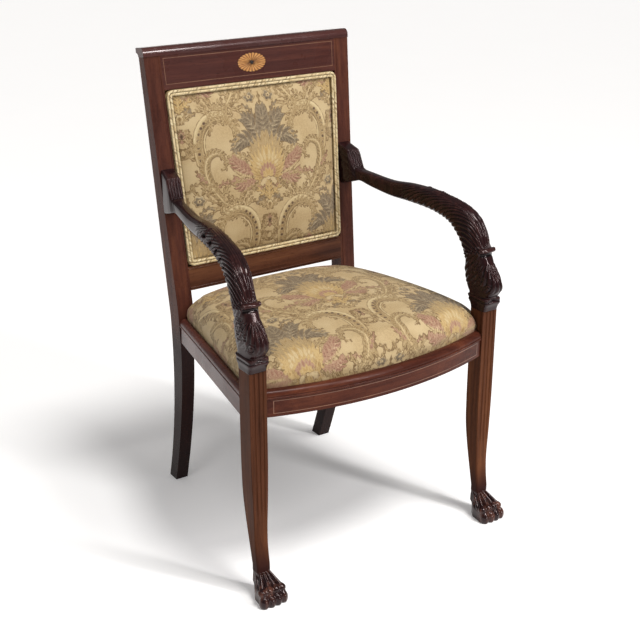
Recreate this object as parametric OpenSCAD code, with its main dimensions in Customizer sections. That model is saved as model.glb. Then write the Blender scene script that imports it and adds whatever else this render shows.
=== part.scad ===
// Open armchair in the late neoclassical manner: bow-fronted mahogany frame,
// carved scroll arms, lion-paw front feet, sabre back legs, slip seat and padded back.
// Millimetres. +Z up, the sitter faces -Y, the origin is on the floor under the middle.

/* [Overall] */
// Height to the top of the back
overall_h = 965; // [920:1:1010]
// Width over the outer faces of the front legs
front_w = 577; // [545:1:610]
// Width over the back posts at the top of the seat rails
rear_w = 444; // [425:1:470]
// Width over the back posts at the top of the chair
top_w = 482; // [470:1:500]
// Front face of the front legs to front face of the back posts
seat_d = 400; // [370:1:430]
// Height of the seat rails' top edge
rail_top = 418; // [405:1:432]
// Height of the seat rails themselves
rail_h = 51; // [46:1:58]

/* [Front legs] */
// Width of a front leg at the seat
leg_w = 36; // [33:0.5:40]
// Depth of a front leg at the seat
leg_d = 38; // [35:0.5:42]
// Height of the top of a front leg, where the arm's collar sits
leg_top = 462; // [450:1:475]
// Width of the leg at the ankle, above the paw
ankle_w = 26.4; // [24:0.2:30]
// Depth of the leg at the ankle
ankle_d = 22.5; // [20:0.5:26]
// Height of the carved paw
paw_h = 70; // [64:1:78]
// Width of the paw over its toes
paw_w = 50; // [46:1:56]
// How far the toes reach in front of the leg's front face
paw_reach = 48; // [42:1:54]
// Number of flutes down the leg's front face
flute_count = 3; // [2:1:4]
// Radius of a flute
flute_r = 2; // [1.5:0.1:2.5]

/* [Back posts] */
// Width of a back post
post_w = 35.5; // [32:0.5:40]
// Depth of a back post at the seat
post_d = 38; // [35:0.5:42]
// Depth of a back post at its top
post_top_d = 22; // [20:0.5:26]
// Width of a back leg just below the seat
back_leg_w = 30; // [28:0.5:34]
// Width of a back foot
foot_w = 28; // [25:0.5:31]
// Depth of a back foot
foot_d = 31; // [28:0.5:35]
// How far a back leg sweeps back to the floor
leg_sweep = 80; // [65:1:95]
// How far the top of the back leans behind the seat
rake = 64; // [48:1:72]

/* [Back rails] */
// Height of the moulded cap
cap_h = 18; // [16:0.5:21]
// Height of the round along the cap's front edge
cap_round_h = 12; // [8:0.5:14]
// Depth of the round along the cap's front edge
cap_round_d = 11; // [6:0.5:13]
// How far the cap stands out over the front
cap_out = 1.5; // [0.5:0.5:4]
// How far the cap stands out over each end
cap_end = 0.5; // [0.5:0.5:3]
// How far the cap stands out over the back
cap_back = 9; // [4:0.5:11]
// Height of the hollow under the cap's back
cap_hollow_h = 8; // [6:0.5:10]
// Rounding of the cap's back edge
cap_edge_r = 2; // [1:0.5:3]
// Height of the crest panel below the cap
crest_h = 67; // [58:1:74]
// Thickness of the crest panel and the lower back rail
back_rail_t = 20; // [18:0.5:22]
// Height of the lower back rail
lower_rail_h = 50; // [42:1:56]
// Height of the lower back rail's bottom edge above the seat rails
lower_rail_gap = 57; // [50:1:66]

/* [Seat rails] */
// Thickness of the seat rails
rail_t = 24; // [22:0.5:27]
// How far the front rail bows out in front of its ends
bow = 42; // [32:1:44]
// How far the front rail's ends lie behind the leg's front face
front_setback = 3; // [1:0.5:6]
// How far the side rails lie inside the legs' outer faces
side_setback = 2; // [1:0.5:4]
// Depth of the rebate that holds the slip seat
rebate_d = 16; // [14:0.5:18]
// Width of the ledge that the slip seat rests on
ledge = 10; // [8:0.5:12]
// Height of the rounded moulding along the rails' top
thumb_h = 12; // [10:0.5:14]
// Radius of the small bead under it
bead_r = 2; // [1.5:0.1:2.6]

/* [Arms] */
// Height of an arm's top over the middle of the seat
arm_h = 677; // [655:1:700]
// Width of an arm where it meets the back post
arm_root_w = 30; // [27:0.5:33]
// Width of an arm at its slimmest
arm_neck_w = 27; // [25:0.5:30]
// Width of an arm at its leafy belly
arm_belly_w = 39; // [36:0.5:42]
// Width of the square collar on top of the front leg
collar_w = 42; // [40:0.5:45]

/* [Joints] */
// Length of the seat rail tenons
tenon_l = 14; // [10:0.5:15]
// Thickness of the tenons
tenon_t = 9; // [7:0.5:10]
// Depth of the shoulder above and below a tenon
shoulder = 7; // [5:0.5:9]
// Play between a tenon, dowel or screw and its hole
fit = 0.2; // [0.1:0.05:0.3]
// Diameter of the dowels
dowel_d = 9; // [8:0.5:10]
// Length of the dowels
dowel_l = 36; // [28:1:40]
// Diameter of the screws' shanks
screw_d = 4.5; // [4:0.1:5]
// Diameter of the screws' heads
screw_head_d = 9; // [8:0.1:10]
// Width of a corner block across its diagonal
block_w = 30; // [26:1:34]
// Height of a corner block
block_h = 25; // [20:1:28]

/* [Slip seat] */
// Height of the crown of the seat above the rails
seat_crown = 78; // [60:1:84]
// Gap between the slip seat and the wood round it
seat_gap = 1; // [0.6:0.1:2]
// Thickness of the cover cloth
cloth_t = 1.6; // [1.2:0.1:2]
// Width of the slip frame's members
slip_w = 48; // [42:1:56]
// Width of the webbing
web_w = 50; // [40:1:55]
// Thickness of the webbing
web_t = 1.6; // [1.2:0.1:2]

/* [Padded back] */
// How far the padded back is crowned in front of the posts
back_crown = 26; // [18:1:32]
// Gap between the padded back and the wood round it
back_gap = 0.8; // [0.5:0.1:1.5]
// Radius of the padded back's corners
back_corner = 14; // [10:1:20]
// Thickness of the board behind the padding
board_t = 8; // [6:0.5:9]
// Diameter of the piping cords
piping_d = 6; // [5:0.2:7]
// Width of the battens that hold the board
batten_w = 14; // [12:0.5:18]
// Thickness of the battens
batten_t = 5; // [4:0.5:6]

/* [Inlay] */
// Half the width of the fan-shaped oval
patera_a = 33; // [28:0.5:37]
// Half the height of the oval
patera_b = 19; // [16:0.5:22]
// Number of rays in the oval
patera_rays_n = 24; // [18:1:30]
// Radius of the dark centre of the oval
patera_dot_r = 3.6; // [3:0.1:4.5]
// Width of the inlaid lines
line_w = 1.4; // [1:0.1:2]
// Depth of the inlay
inlay_t = 0.8; // [0.6:0.1:1.2]

/* [Hidden] */

$fn = 48;
eps = 0.01;
wood = [0.34, 0.17, 0.12];
dark_wood = [0.20, 0.10, 0.08];
pale_wood = [0.80, 0.66, 0.46];
satinwood = [0.80, 0.55, 0.24];
cloth = [0.74, 0.65, 0.44];
foam_colour = [0.93, 0.88, 0.70];
steel = [0.62, 0.62, 0.60];
jute = [0.66, 0.56, 0.40];

// Places along Y, with the whole chair centred on the origin
overall_d = paw_reach + seat_d + leg_sweep + foot_d;
front_y = paw_reach - overall_d / 2;
leg_back_y = front_y + leg_d;
back_y = front_y + seat_d;

// Heights of the seat rails
rail_bottom = rail_top - rail_h;
ledge_z = rail_top - rebate_d;
rail_mid = (rail_bottom + rail_top) / 2;

// The back posts splay outwards and lean backwards
splay = (top_w - rear_w) / 2 / (overall_h - rail_top);
rake_blend = 40;
rake_z0 = rail_top + rake_blend / 2;
rake_slope = rake / (overall_h - rake_z0);
rake_a = atan(rake_slope);
sabre_power_front = 1.6;
sabre_power_back = 2.05;
function post_out(z) = rear_w / 2 + splay * (z - rail_top);
function post_in(z) = post_out(z) - post_w;
function post_face_y(z) =
    z <= rail_bottom ? back_y + leg_sweep * pow((rail_bottom - z) / rail_bottom, sabre_power_front)
    : z <= rail_top ? back_y
    : z <= rail_top + rake_blend ? back_y + rake_slope * pow(z - rail_top, 2) / (2 * rake_blend)
    : back_y + rake_slope * (z - rake_z0);
function post_rear_y(z) = z <= rail_top
    ? back_y + post_d + (leg_sweep + foot_d - post_d) * pow((rail_top - z) / rail_top, sabre_power_back)
    : 0;

// Distances up the leaning face of the back
function up(z) = (z - rake_z0) / cos(rake_a);
function height_at(s) = rake_z0 + s * cos(rake_a);
cap_top_s = up(overall_h) + (cap_round_d - cap_out) * tan(rake_a);
cap_s = cap_top_s - cap_h;
crest_s = cap_s - crest_h;
lower_s = up(rail_top + lower_rail_gap);
lower_top_s = lower_s + lower_rail_h;
string_in = 5;
string_s0 = crest_s + 2 * string_in;
string_s1 = cap_s - string_in;
inlay_s = (string_s0 + string_s1) / 2;

// The bow of the front rail
leg_in = front_w / 2 - leg_w;
bow_r = (pow(leg_in, 2) + pow(bow, 2)) / (2 * bow);
bow_cy = front_y + front_setback - bow + bow_r;
bow_in_r = bow_r - rail_t;

// The slanting side rails
side_x0 = front_w / 2 - side_setback;
side_x1 = post_out(rail_mid) - side_setback;
side_run = back_y - leg_back_y;
side_a = atan((side_x0 - side_x1) / side_run);
side_l = side_run / cos(side_a);
function side_x(y, inset) = side_x0 - (side_x0 - side_x1) * (y - leg_back_y) / side_run - inset / cos(side_a);

wall_t = rail_t - ledge;
tenon_z0 = rail_bottom + shoulder;
tenon_z1 = ledge_z - shoulder / 2;
front_tenon_y = front_y + front_setback + rail_t / 2 + 1;
rear_tenon_y = back_y + rail_t / 2;
block_z = ledge_z - block_h;

function lerp(a, b, t) = a + (b - a) * t;
function clamp01(t) = min(1, max(0, t));
function ease(t) = (1 - cos(180 * clamp01(t))) / 2;
function arc(cx, cy, r, a0, a1, n) =
    [for (i = [0:n]) let (a = lerp(a0, a1, i / n)) [cx + r * cos(a), cy + r * sin(a)]];

module along_x(x0, x1) {
    translate([x0, 0, 0]) rotate([90, 0, 90]) linear_extrude(x1 - x0) children();
}

module along_y(y0, y1) {
    translate([0, y1, 0]) rotate([90, 0, 0]) linear_extrude(y1 - y0) children();
}

module block(x, y, z) {
    translate([x[0], y[0], z[0]]) cube([x[1] - x[0], y[1] - y[0], z[1] - z[0]]);
}

module on_rake() {
    translate([0, back_y, rake_z0]) rotate([-rake_a, 0, 0]) children();
}

module on_side() {
    translate([side_x0, leg_back_y, 0]) rotate([0, 0, side_a]) children();
}

module both_sides() {
    children();
    mirror([1, 0, 0]) children();
}

// A loft through rings of equally many points, closed at each end round a middle point
module loft(rings, first_mid, last_mid) {
    n = len(rings[0]);
    m = len(rings);
    polyhedron(points = concat([for (ring = rings) each ring], [first_mid, last_mid]),
        faces = [for (j = [0:n - 1]) let (k = (j + 1) % n, last = (m - 1) * n) each concat(
            [[j, k, m * n], [last + k, last + j, m * n + 1]],
            [for (i = [0:m - 2]) let (a = i * n + j, b = i * n + k) each [[b, a, a + n], [b, a + n, b + n]]])]);
}

function middle(ring) = [for (axis = [0:2]) [for (p = ring) p[axis]] * [for (p = ring) 1] / len(ring)];

// Front leg: a tapering square post on a lion's paw, drawn for the +X side
taper_z = 300;
flare_z = 150;
calf_z = 220;
ankle_front = -8;
ankle_z = 65;
function taper(z) = ease((taper_z - z) / (taper_z - paw_h * 1.5));
function leg_out_x(z) = front_w / 2 - (leg_w - ankle_w) * 0.65 * taper(z);
function leg_in_x(z) = leg_in + (leg_w - ankle_w) * 0.35 * taper(z);
function leg_front_y(z) = front_y + ankle_front * pow(clamp01((flare_z - z) / (flare_z - ankle_z)), 2);
function leg_rear_y(z) = front_y + leg_d
    - (leg_d - ankle_d - ankle_front) * pow(clamp01((calf_z - z) / (calf_z - ankle_z)), 1.6);

leg_steps = 18;
function leg_z(i) = lerp(paw_h, taper_z, i / leg_steps);

module leg_post() {
    heights = concat([for (i = [0:leg_steps]) leg_z(i)], [leg_top]);
    last = len(heights) - 1;
    intersection() {
        along_x(0, front_w) polygon(concat(
            [for (z = heights) [leg_front_y(z), z]],
            [for (i = [0:last]) [leg_rear_y(heights[last - i]), heights[last - i]]]));
        along_y(front_y - paw_reach, back_y) polygon(concat(
            [for (z = heights) [leg_out_x(z), z]],
            [for (i = [0:last]) [leg_in_x(heights[last - i]), heights[last - i]]]));
    }
}

// Paw: height, half width, front and back reach, toe depth and how round the ring is.
// Widths are shares of the paw's half width and depths of its reach.
paw_sides = 48;
toes = 4;
paw_rows = [
    [0.00, 0.90, 0.92, 0.06, 2.6, 1],
    [0.05, 0.97, 0.98, 0.10, 4.0, 1],
    [0.14, 1.00, 1.00, 0.14, 5.0, 1],
    [0.24, 1.00, 0.99, 0.16, 5.0, 1],
    [0.33, 0.97, 0.93, 0.17, 3.6, 1],
    [0.39, 0.94, 0.86, 0.18, 1.6, 1],
    [0.45, 0.93, 0.86, 0.20, 2.4, 1],
    [0.53, 0.90, 0.80, 0.22, 3.0, 1],
    [0.62, 0.82, 0.66, 0.25, 2.2, 0.95],
    [0.72, 0.71, 0.48, 0.28, 1.6, 0.85],
    [0.83, 0.61, 0.31, 0.31, 1.0, 0.6],
    [0.92, 0.55, 0.21, 0.33, 0.4, 0.3]];
paw_cx = (leg_out_x(paw_h) + leg_in_x(paw_h)) / 2;
function toe_lobe(c) = let (f = (c + 1) / 2 * toes, g = 2 * (f - floor(f)) - 1) pow(1 - g * g, 0.6);
function paw_point(half_w, y0, y1, toe, k, a) =
    let (c = cos(a), s = sin(a), m = max(abs(c), abs(s)), half_d = (y1 - y0) / 2,
        lobe = s < 0 ? toe * (toe_lobe(c) - 0.6) * pow(-s, 0.4) : 0)
    [paw_cx + half_w * lerp(c / m, c, k), (y0 + y1) / 2 + half_d * lerp(s / m, s, k) - lobe];
function paw_ring(row) =
    [for (i = [0:paw_sides - 1]) let (p = paw_point(paw_w / 2 * row[1], front_y - paw_reach * row[2] + row[4] * 0.4,
        front_y + ankle_d * row[3] * 2, row[4], row[5], 360 * i / paw_sides)) [p[0], p[1], paw_h * row[0]]];
function paw_top_ring() =
    [for (i = [0:paw_sides - 1]) let (p = paw_point((leg_out_x(paw_h) - leg_in_x(paw_h)) / 2,
        leg_front_y(paw_h), leg_rear_y(paw_h), 0, 0, 360 * i / paw_sides)) [p[0], p[1], paw_h]];

module paw() {
    rings = concat([for (row = paw_rows) paw_ring(row)], [paw_top_ring()]);
    loft(rings, middle(rings[0]), middle(paw_top_ring()));
}

flute_z0 = flare_z + 10;
flute_pitch = leg_w / (flute_count + 1);

module flutes() {
    for (i = [1:flute_count])
        translate([leg_in + i * flute_pitch, front_y - flute_r * 0.4, flute_z0])
            cylinder(r = flute_r, h = leg_top - flute_z0 + 1);
}

module front_leg() {
    difference() {
        union() {
            leg_post();
            paw();
        }
        flutes();
        front_tenon(fit);
        side_tenon_front(fit);
        arm_dowel(fit);
    }
}

// Back post and sabre leg in one piece, drawn for the +X side
post_steps = 14;
leg_step = 25;
function post_profile() =
    let (top_y = back_y + cap_s * sin(rake_a), top_z = height_at(cap_s),
        sabre = [for (i = [0:post_steps]) lerp(0, rail_bottom, i / post_steps)],
        bend = [for (i = [0:5]) rail_top + rake_blend * i / 5],
        back = [for (i = [0:post_steps]) lerp(rail_top, 0, i / post_steps)])
    concat([for (z = sabre) [post_face_y(z), z]],
        [for (z = bend) [post_face_y(z), z]],
        [[top_y, top_z], [top_y + post_top_d * cos(rake_a), top_z - post_top_d * sin(rake_a)]],
        [for (z = back) [post_rear_y(z), z]]);

bead_line_r = 1;
bead_line_in = 5;

module post_bead_line() {
    z0 = rail_top + rake_blend;
    z1 = height_at(cap_s) + 5;
    len_s = up(z1) - up(z0);
    x0 = post_in(z0) + bead_line_in;
    x1 = post_in(z1) + bead_line_in;
    on_rake() translate([x0, -bead_line_r * 0.3, up(z0)]) rotate([0, atan((x1 - x0) / len_s), 0])
        cylinder(r = bead_line_r, h = norm([x1 - x0, len_s]));
}

module rear_leg() {
    difference() {
        intersection() {
            along_x(0, top_w) polygon(post_profile());
            along_y(back_y - 10, back_y + leg_sweep + foot_d + post_d) polygon([
                [post_out(0), 0], [post_out(overall_h), overall_h],
                [post_in(overall_h), overall_h], [post_in(rail_bottom), rail_bottom],
                [post_out(rail_bottom - leg_step) - back_leg_w, rail_bottom - leg_step], [post_out(0) - foot_w, 0]]);
        }
        post_bead_line();
        side_tenon_rear(fit);
        rear_tenon(fit);
        back_tenon(crest_s, cap_s, fit);
        back_tenon(lower_s, lower_top_s, fit);
        arm_screw_hole();
        cap_dowel(post_out(height_at(cap_s)) - post_w / 2, post_top_d / 2, fit);
    }
}

// Tenons, each also cut from its mortise with play all round, on the +X side
module front_tenon(play) {
    block([leg_in - eps * sign(play), leg_in + tenon_l + play],
        [front_tenon_y - tenon_t / 2 - play, front_tenon_y + tenon_t / 2 + play], [tenon_z0 - play, tenon_z1 + play]);
}

module side_tenon_front(play) {
    on_side() block([-rail_t / 2 - tenon_t / 2 - play, -rail_t / 2 + tenon_t / 2 + play],
        [-tenon_l - play, rail_t / 2], [tenon_z0 - play, tenon_z1 + play]);
}

module side_tenon_rear(play) {
    on_side() block([-rail_t / 2 - tenon_t / 2 - play, -rail_t / 2 + tenon_t / 2 + play],
        [side_l - rail_t / 2, side_l + tenon_l + play], [tenon_z0 - play, tenon_z1 + play]);
}

module rear_tenon(play) {
    block([0, post_in(rail_mid) + tenon_l - 2 + play],
        [rear_tenon_y - tenon_t / 2 - play, rear_tenon_y + tenon_t / 2 + play], [tenon_z0 - play, tenon_z1 + play]);
}

module back_tenon(s0, s1, play) {
    on_rake() block([0, post_in(height_at((s0 + s1) / 2)) + tenon_l + play],
        [back_rail_t / 2 - tenon_t / 2 - play, back_rail_t / 2 + tenon_t / 2 + play],
        [s0 + shoulder - play, s1 - shoulder + play]);
}

// The space between the two back posts
module between_posts(z0, z1, gap) {
    along_y(back_y - 60, back_y + 200) polygon([
        [-post_in(z0) + gap, z0], [post_in(z0) - gap, z0], [post_in(z1) - gap, z1], [-post_in(z1) + gap, z1]]);
}

module back_rail(s0, s1) {
    intersection() {
        on_rake() block([-top_w / 2, top_w / 2], [0, back_rail_t], [s0, s1]);
        between_posts(rail_top, overall_h + 20, 0);
    }
    intersection() {
        union() {
            back_tenon(s0, s1, 0);
            mirror([1, 0, 0]) back_tenon(s0, s1, 0);
        }
        block([-top_w / 2, top_w / 2], [back_y, back_y + 200], [rail_top, overall_h]);
    }
}

// Crest panel with its inlaid oval and rectangle of stringing
function string_half(s) = post_in(height_at(s)) - string_in;

module string_outline(inset) {
    low = string_half(string_s0) - inset;
    high = string_half(string_s1) - inset;
    polygon([[-low, string_s0 + inset], [low, string_s0 + inset],
        [high, string_s1 - inset], [-high, string_s1 - inset]]);
}

module string_frame(grow) {
    on_rake() translate([0, inlay_t, 0]) rotate([90, 0, 0]) linear_extrude(inlay_t + grow) difference() {
        string_outline(0);
        string_outline(line_w);
    }
}

function oval(a, b, n) = [for (i = [0:n - 1]) [a * cos(360 * i / n), b * sin(360 * i / n)]];

module on_patera() {
    on_rake() translate([0, inlay_t, inlay_s]) rotate([90, 0, 0]) children();
}

module crest_panel() {
    color(wood) difference() {
        back_rail(crest_s, cap_s);
        string_frame(1);
        on_patera() linear_extrude(inlay_t + 1) polygon(oval(patera_a + fit, patera_b + fit, 48));
        both_sides() cap_dowel(post_in(height_at(cap_s)) / 2, back_rail_t / 2, fit);
    }
}

module crest_stringing() {
    color(pale_wood) string_frame(0);
}

module patera_rays() {
    step = 360 / patera_rays_n;
    gap_a = 0.9;
    color(satinwood) on_patera() linear_extrude(inlay_t) for (i = [0:patera_rays_n - 1]) {
        a0 = i * step + gap_a;
        a1 = (i + 1) * step - gap_a;
        am = (a0 + a1) / 2;
        r0 = patera_dot_r + fit;
        polygon([[r0 * cos(am), r0 * sin(am)],
            [(patera_a - 1) * cos(a0), (patera_b - 1) * sin(a0)],
            [patera_a * cos(am), patera_b * sin(am)],
            [(patera_a - 1) * cos(a1), (patera_b - 1) * sin(a1)]]);
    }
}

module patera_dot() {
    color("black") on_patera() cylinder(r = patera_dot_r, h = inlay_t);
}

rail_bead_r = 2;

module lower_back_rail() {
    color(wood) union() {
        back_rail(lower_s, lower_top_s);
        intersection() {
            on_rake() for (s = [lower_s + rail_bead_r + 3, lower_top_s - rail_bead_r - 3])
                translate([-top_w / 2, rail_bead_r * 0.4, s]) rotate([0, 90, 0]) cylinder(r = rail_bead_r, h = top_w);
            between_posts(rail_top, overall_h, 0);
        }
    }
}

// Section of the cap: its front rounds over into the top, its back stands out over a hollow
module cap_section() {
    back = post_top_d + cap_back;
    front_round = [for (a = [0:10:90]) [cap_round_d * (1 - cos(a)) - cap_out, cap_h - cap_round_h * (1 - sin(a))]];
    back_edge = [for (a = [90:-15:0]) [back - cap_edge_r * (1 - cos(a)), cap_h - cap_edge_r * (1 - sin(a))]];
    hollow = [for (a = [90:-15:0]) [back - cap_back * cos(a), cap_hollow_h * sin(a)]];
    polygon(concat([[-cap_out, 0]], front_round, back_edge, hollow));
}

module crest_cap() {
    half = post_out(height_at(cap_s));
    color(wood) difference() {
        on_rake() translate([0, 0, cap_s]) along_x(-half - cap_end, half + cap_end) cap_section();
        both_sides() {
            cap_dowel(half - post_w / 2, post_top_d / 2, fit);
            cap_dowel(post_in(height_at(cap_s)) / 2, back_rail_t / 2, fit);
        }
    }
}

cap_dowel_l = 24;

module cap_dowel(x, t, play) {
    on_rake() translate([x, t, cap_s - cap_dowel_l / 2 - play]) cylinder(d = dowel_d - 2 + 2 * play,
        h = cap_dowel_l + 2 * play);
}

module cap_dowels() {
    color(pale_wood) both_sides() {
        cap_dowel(post_out(height_at(cap_s)) - post_w / 2, post_top_d / 2, 0);
        cap_dowel(post_in(height_at(cap_s)) / 2, back_rail_t / 2, 0);
    }
}

// Section of the seat rails: x outwards from the outer face, y up
thumb_z = rail_top - thumb_h;
function rail_section() =
    concat([[-rail_t, rail_bottom], [0, rail_bottom]],
        arc(0, thumb_z - bead_r, bead_r, -90, 90, 8),
        [[-1, thumb_z], [-1, thumb_z + 1]],
        arc(1 - (thumb_h - 1), thumb_z + 1, thumb_h - 1, 0, 90, 10),
        [[-wall_t, rail_top], [-wall_t, ledge_z], [-rail_t, ledge_z]]);

// Turns a section round the bow's centre, a little past the front legs
module bowed() {
    spread = 2 * asin(leg_in / bow_in_r) + 6;
    translate([0, bow_cy, 0]) rotate([0, 0, 270 - spread / 2]) rotate_extrude(angle = spread, $fn = 360) children();
}

module bow_sector(r0, r1, z0, z1) {
    bowed() translate([r0, z0]) square([r1 - r0, z1 - z0]);
}

string_z0 = rail_bottom + 6;
string_z1 = thumb_z - 2 * bead_r - 3;
string_x = leg_in - 12;

module string_window(inset) {
    block([inset - string_x, string_x - inset], [front_y - bow - inset, front_y + leg_d + inset],
        [string_z0 + inset, string_z1 - inset]);
}

module rail_string(grow) {
    intersection() {
        bow_sector(bow_r - inlay_t, bow_r + grow, rail_bottom, rail_top);
        difference() {
            string_window(0);
            string_window(line_w);
        }
    }
}

module front_rail() {
    color(wood) difference() {
        union() {
            intersection() {
                bowed() translate([bow_r, 0]) polygon(rail_section());
                block([-leg_in, leg_in], [front_y - bow - 10, leg_back_y], [rail_bottom - 1, rail_top + 1]);
            }
            both_sides() front_tenon(0);
        }
        rail_string(1);
        both_sides() block_screw_front(true);
    }
}

module rail_stringing() {
    color(pale_wood) rail_string(0);
}

module side_rail() {
    difference() {
        union() {
            intersection() {
                on_side() along_y(-rail_t, side_l + rail_t) polygon(rail_section());
                block([0, front_w], [leg_back_y, back_y], [rail_bottom - 1, rail_top + 1]);
            }
            side_tenon_front(0);
            side_tenon_rear(0);
        }
        block_screw_side_front(true);
        block_screw_side_rear(true);
    }
}

module rear_rail() {
    color(wood) difference() {
        union() {
            intersection() {
                along_x(-rear_w / 2, rear_w / 2) polygon([
                    [back_y, rail_bottom], [back_y + rail_t, rail_bottom], [back_y + rail_t, rail_top],
                    [back_y + ledge, rail_top], [back_y + ledge, ledge_z], [back_y, ledge_z]]);
                between_posts(rail_bottom, rail_top, 0);
            }
            both_sides() rear_tenon(0);
        }
        both_sides() block_screw_rear(true);
    }
}

// Corner blocks, bridging the corners under the slip seat, on the +X side
block_near = 34;
front_corner_x = side_x(leg_back_y - 10, rail_t);
front_corner_y = bow_cy - sqrt(pow(bow_in_r, 2) - pow(front_corner_x, 2));
rear_corner_x = side_x(back_y, rail_t);
block_screw_z = block_z + block_h / 2;

module frame_inside() {
    y0 = front_y - bow;
    linear_extrude(rail_top) polygon([[0, y0], [side_x(y0, rail_t), y0],
        [side_x(back_y, rail_t), back_y], [0, back_y]]);
}

module front_band() {
    translate([front_corner_x, front_corner_y, block_z]) rotate([0, 0, 45])
        block([-80, 80], [block_near, block_near + block_w], [0, block_h]);
}

module rear_band() {
    translate([rear_corner_x, back_y, block_z]) rotate([0, 0, 135])
        block([-80, 80], [block_near, block_near + block_w], [0, block_h]);
}

module corner_block_front() {
    difference() {
        intersection() {
            front_band();
            frame_inside();
            translate([0, bow_cy, 0]) cylinder(r = bow_in_r, h = rail_top, $fn = 360);
        }
        block_screw_front(true);
        block_screw_side_front(true);
        seat_screw_front(true);
    }
}

module corner_block_rear() {
    difference() {
        intersection() {
            rear_band();
            frame_inside();
        }
        block_screw_rear(true);
        block_screw_side_rear(true);
        seat_screw_rear(true);
    }
}

// A screw pointing up +Z from the seat of its head, or the hole for it
module screw(shank, hole) {
    play = hole ? fit : 0;
    head_h = screw_head_d * 0.3;
    cylinder(d = screw_d + 2 * play, h = shank + play);
    translate([0, 0, -head_h]) cylinder(d = screw_head_d + 2 * play, h = head_h + (hole ? 0 : eps));
    if (hole) translate([0, 0, -head_h - 30]) cylinder(d = screw_head_d + 2 * play, h = 30 + eps);
}

block_screw_l = 30;
block_screw_in = 12;
block_reach = (block_near + block_w / 2) * sqrt(2);

module block_screw_front(hole) {
    x = front_corner_x - block_reach;
    y = bow_cy - sqrt(pow(bow_in_r, 2) - pow(x, 2));
    translate([x, y + block_screw_l - block_screw_in, block_screw_z]) rotate([90, 0, 0]) screw(block_screw_l, hole);
}

module block_screw_side_front(hole) {
    y = front_corner_y + block_reach;
    x = side_x(y, rail_t);
    translate([x, y, block_screw_z]) rotate([0, 0, side_a]) translate([block_screw_in - block_screw_l, 0, 0])
        rotate([0, 90, 0]) screw(block_screw_l, hole);
}

module block_screw_side_rear(hole) {
    y = back_y - block_reach;
    x = side_x(y, rail_t);
    translate([x, y, block_screw_z]) rotate([0, 0, side_a]) translate([block_screw_in - block_screw_l, 0, 0])
        rotate([0, 90, 0]) screw(block_screw_l, hole);
}

module block_screw_rear(hole) {
    x = rear_corner_x - block_reach;
    translate([x, back_y + block_screw_in - block_screw_l, block_screw_z]) rotate([-90, 0, 0])
        screw(block_screw_l, hole);
}

module corner_block_screws() {
    color(steel) both_sides() {
        block_screw_front(false);
        block_screw_side_front(false);
        block_screw_side_rear(false);
        block_screw_rear(false);
    }
}

// Screws up through the corner blocks into the slip frame
slip_t = rebate_d;
seat_screw_l = block_h + slip_t * 0.7;
band_mid = (block_near + block_w / 2) / sqrt(2);

module seat_screw_front(hole) {
    translate([front_corner_x - band_mid, front_corner_y + band_mid, block_z]) screw(seat_screw_l, hole);
}

module seat_screw_rear(hole) {
    translate([rear_corner_x - band_mid, back_y - band_mid, block_z]) screw(seat_screw_l, hole);
}

module seat_screws() {
    color(steel) both_sides() {
        seat_screw_front(false);
        seat_screw_rear(false);
    }
}

// Slip seat: its plan runs inside the rails' walls, with the corners notched round the posts
seat_back_y = back_y + ledge - seat_gap;
function seat_front_y(x, inset) = bow_cy - sqrt(pow(bow_r - wall_t - seat_gap - inset, 2) - x * x);
function seat_side_x(y, inset) = side_x(y, wall_t + seat_gap + inset);

module notches(gap) {
    both_sides() {
        block([leg_in - gap, front_w], [front_y - 50, leg_back_y + gap], [rail_bottom, leg_top + 60]);
        block([post_in(ledge_z) - gap, front_w], [back_y - gap, back_y + 60], [rail_bottom, leg_top + 60]);
    }
}

module seat_plan(inset) {
    intersection() {
        polygon([for (p = [[-1, front_y - bow], [1, front_y - bow], [1, seat_back_y - inset],
            [-1, seat_back_y - inset]]) [p[0] * seat_side_x(p[1], inset), p[1]]]);
        translate([0, bow_cy]) circle(r = bow_r - wall_t - seat_gap - inset, $fn = 360);
    }
}

module slip_member(x, y) {
    color(pale_wood) difference() {
        intersection() {
            translate([0, 0, ledge_z]) linear_extrude(slip_t) seat_plan(cloth_t + 0.4);
            block(x, y, [ledge_z, rail_top]);
        }
        notches(seat_gap + cloth_t + 0.4);
        both_sides() {
            seat_screw_front(true);
            seat_screw_rear(true);
        }
    }
}

slip_front_y = front_y + front_setback - bow + rail_t + slip_w * 1.4;
slip_back_y = seat_back_y - slip_w;
slip_side_x = side_x1 - rail_t - slip_w * 0.5;

module slip_frame_front() {
    slip_member([-front_w / 2, front_w / 2], [front_y - bow, slip_front_y]);
}

module slip_frame_rear() {
    slip_member([-front_w / 2, front_w / 2], [slip_back_y, seat_back_y]);
}

module slip_side() {
    slip_member([slip_side_x, front_w / 2], [slip_front_y, slip_back_y]);
}

// Interlaced webbing tacked on top of the slip frame
web_over = 14;
function web_xs() = [for (i = [-1:1]) i * (slip_side_x * 2 / 3.2)];
function web_ys() = [for (i = [0:2]) lerp(slip_front_y, slip_back_y, (i + 0.5) / 3)];

module seat_webbing() {
    color(jute) {
        for (x = web_xs()) block([x - web_w / 2, x + web_w / 2], [slip_front_y - web_over, slip_back_y + web_over],
            [rail_top, rail_top + web_t]);
        for (y = web_ys()) block([-slip_side_x - web_over, slip_side_x + web_over], [y - web_w / 2, y + web_w / 2],
            [rail_top + web_t, rail_top + 2 * web_t]);
    }
}

// The crowned seat: a smooth dome over the plan, steep at its rim
seat_rim_z = rail_top - 4;
seat_rise = rail_top + seat_crown - seat_rim_z;
function dome(t, power, edge) = pow(max(0, 1 - pow(abs(t), power)), edge);
function seat_z(u, v) = seat_rim_z + seat_rise * dome(u, 10, 0.75) * dome(v, 5, 0.2);
function bunched(i, n) = sin(90 * (2 * i / n - 1));

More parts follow.
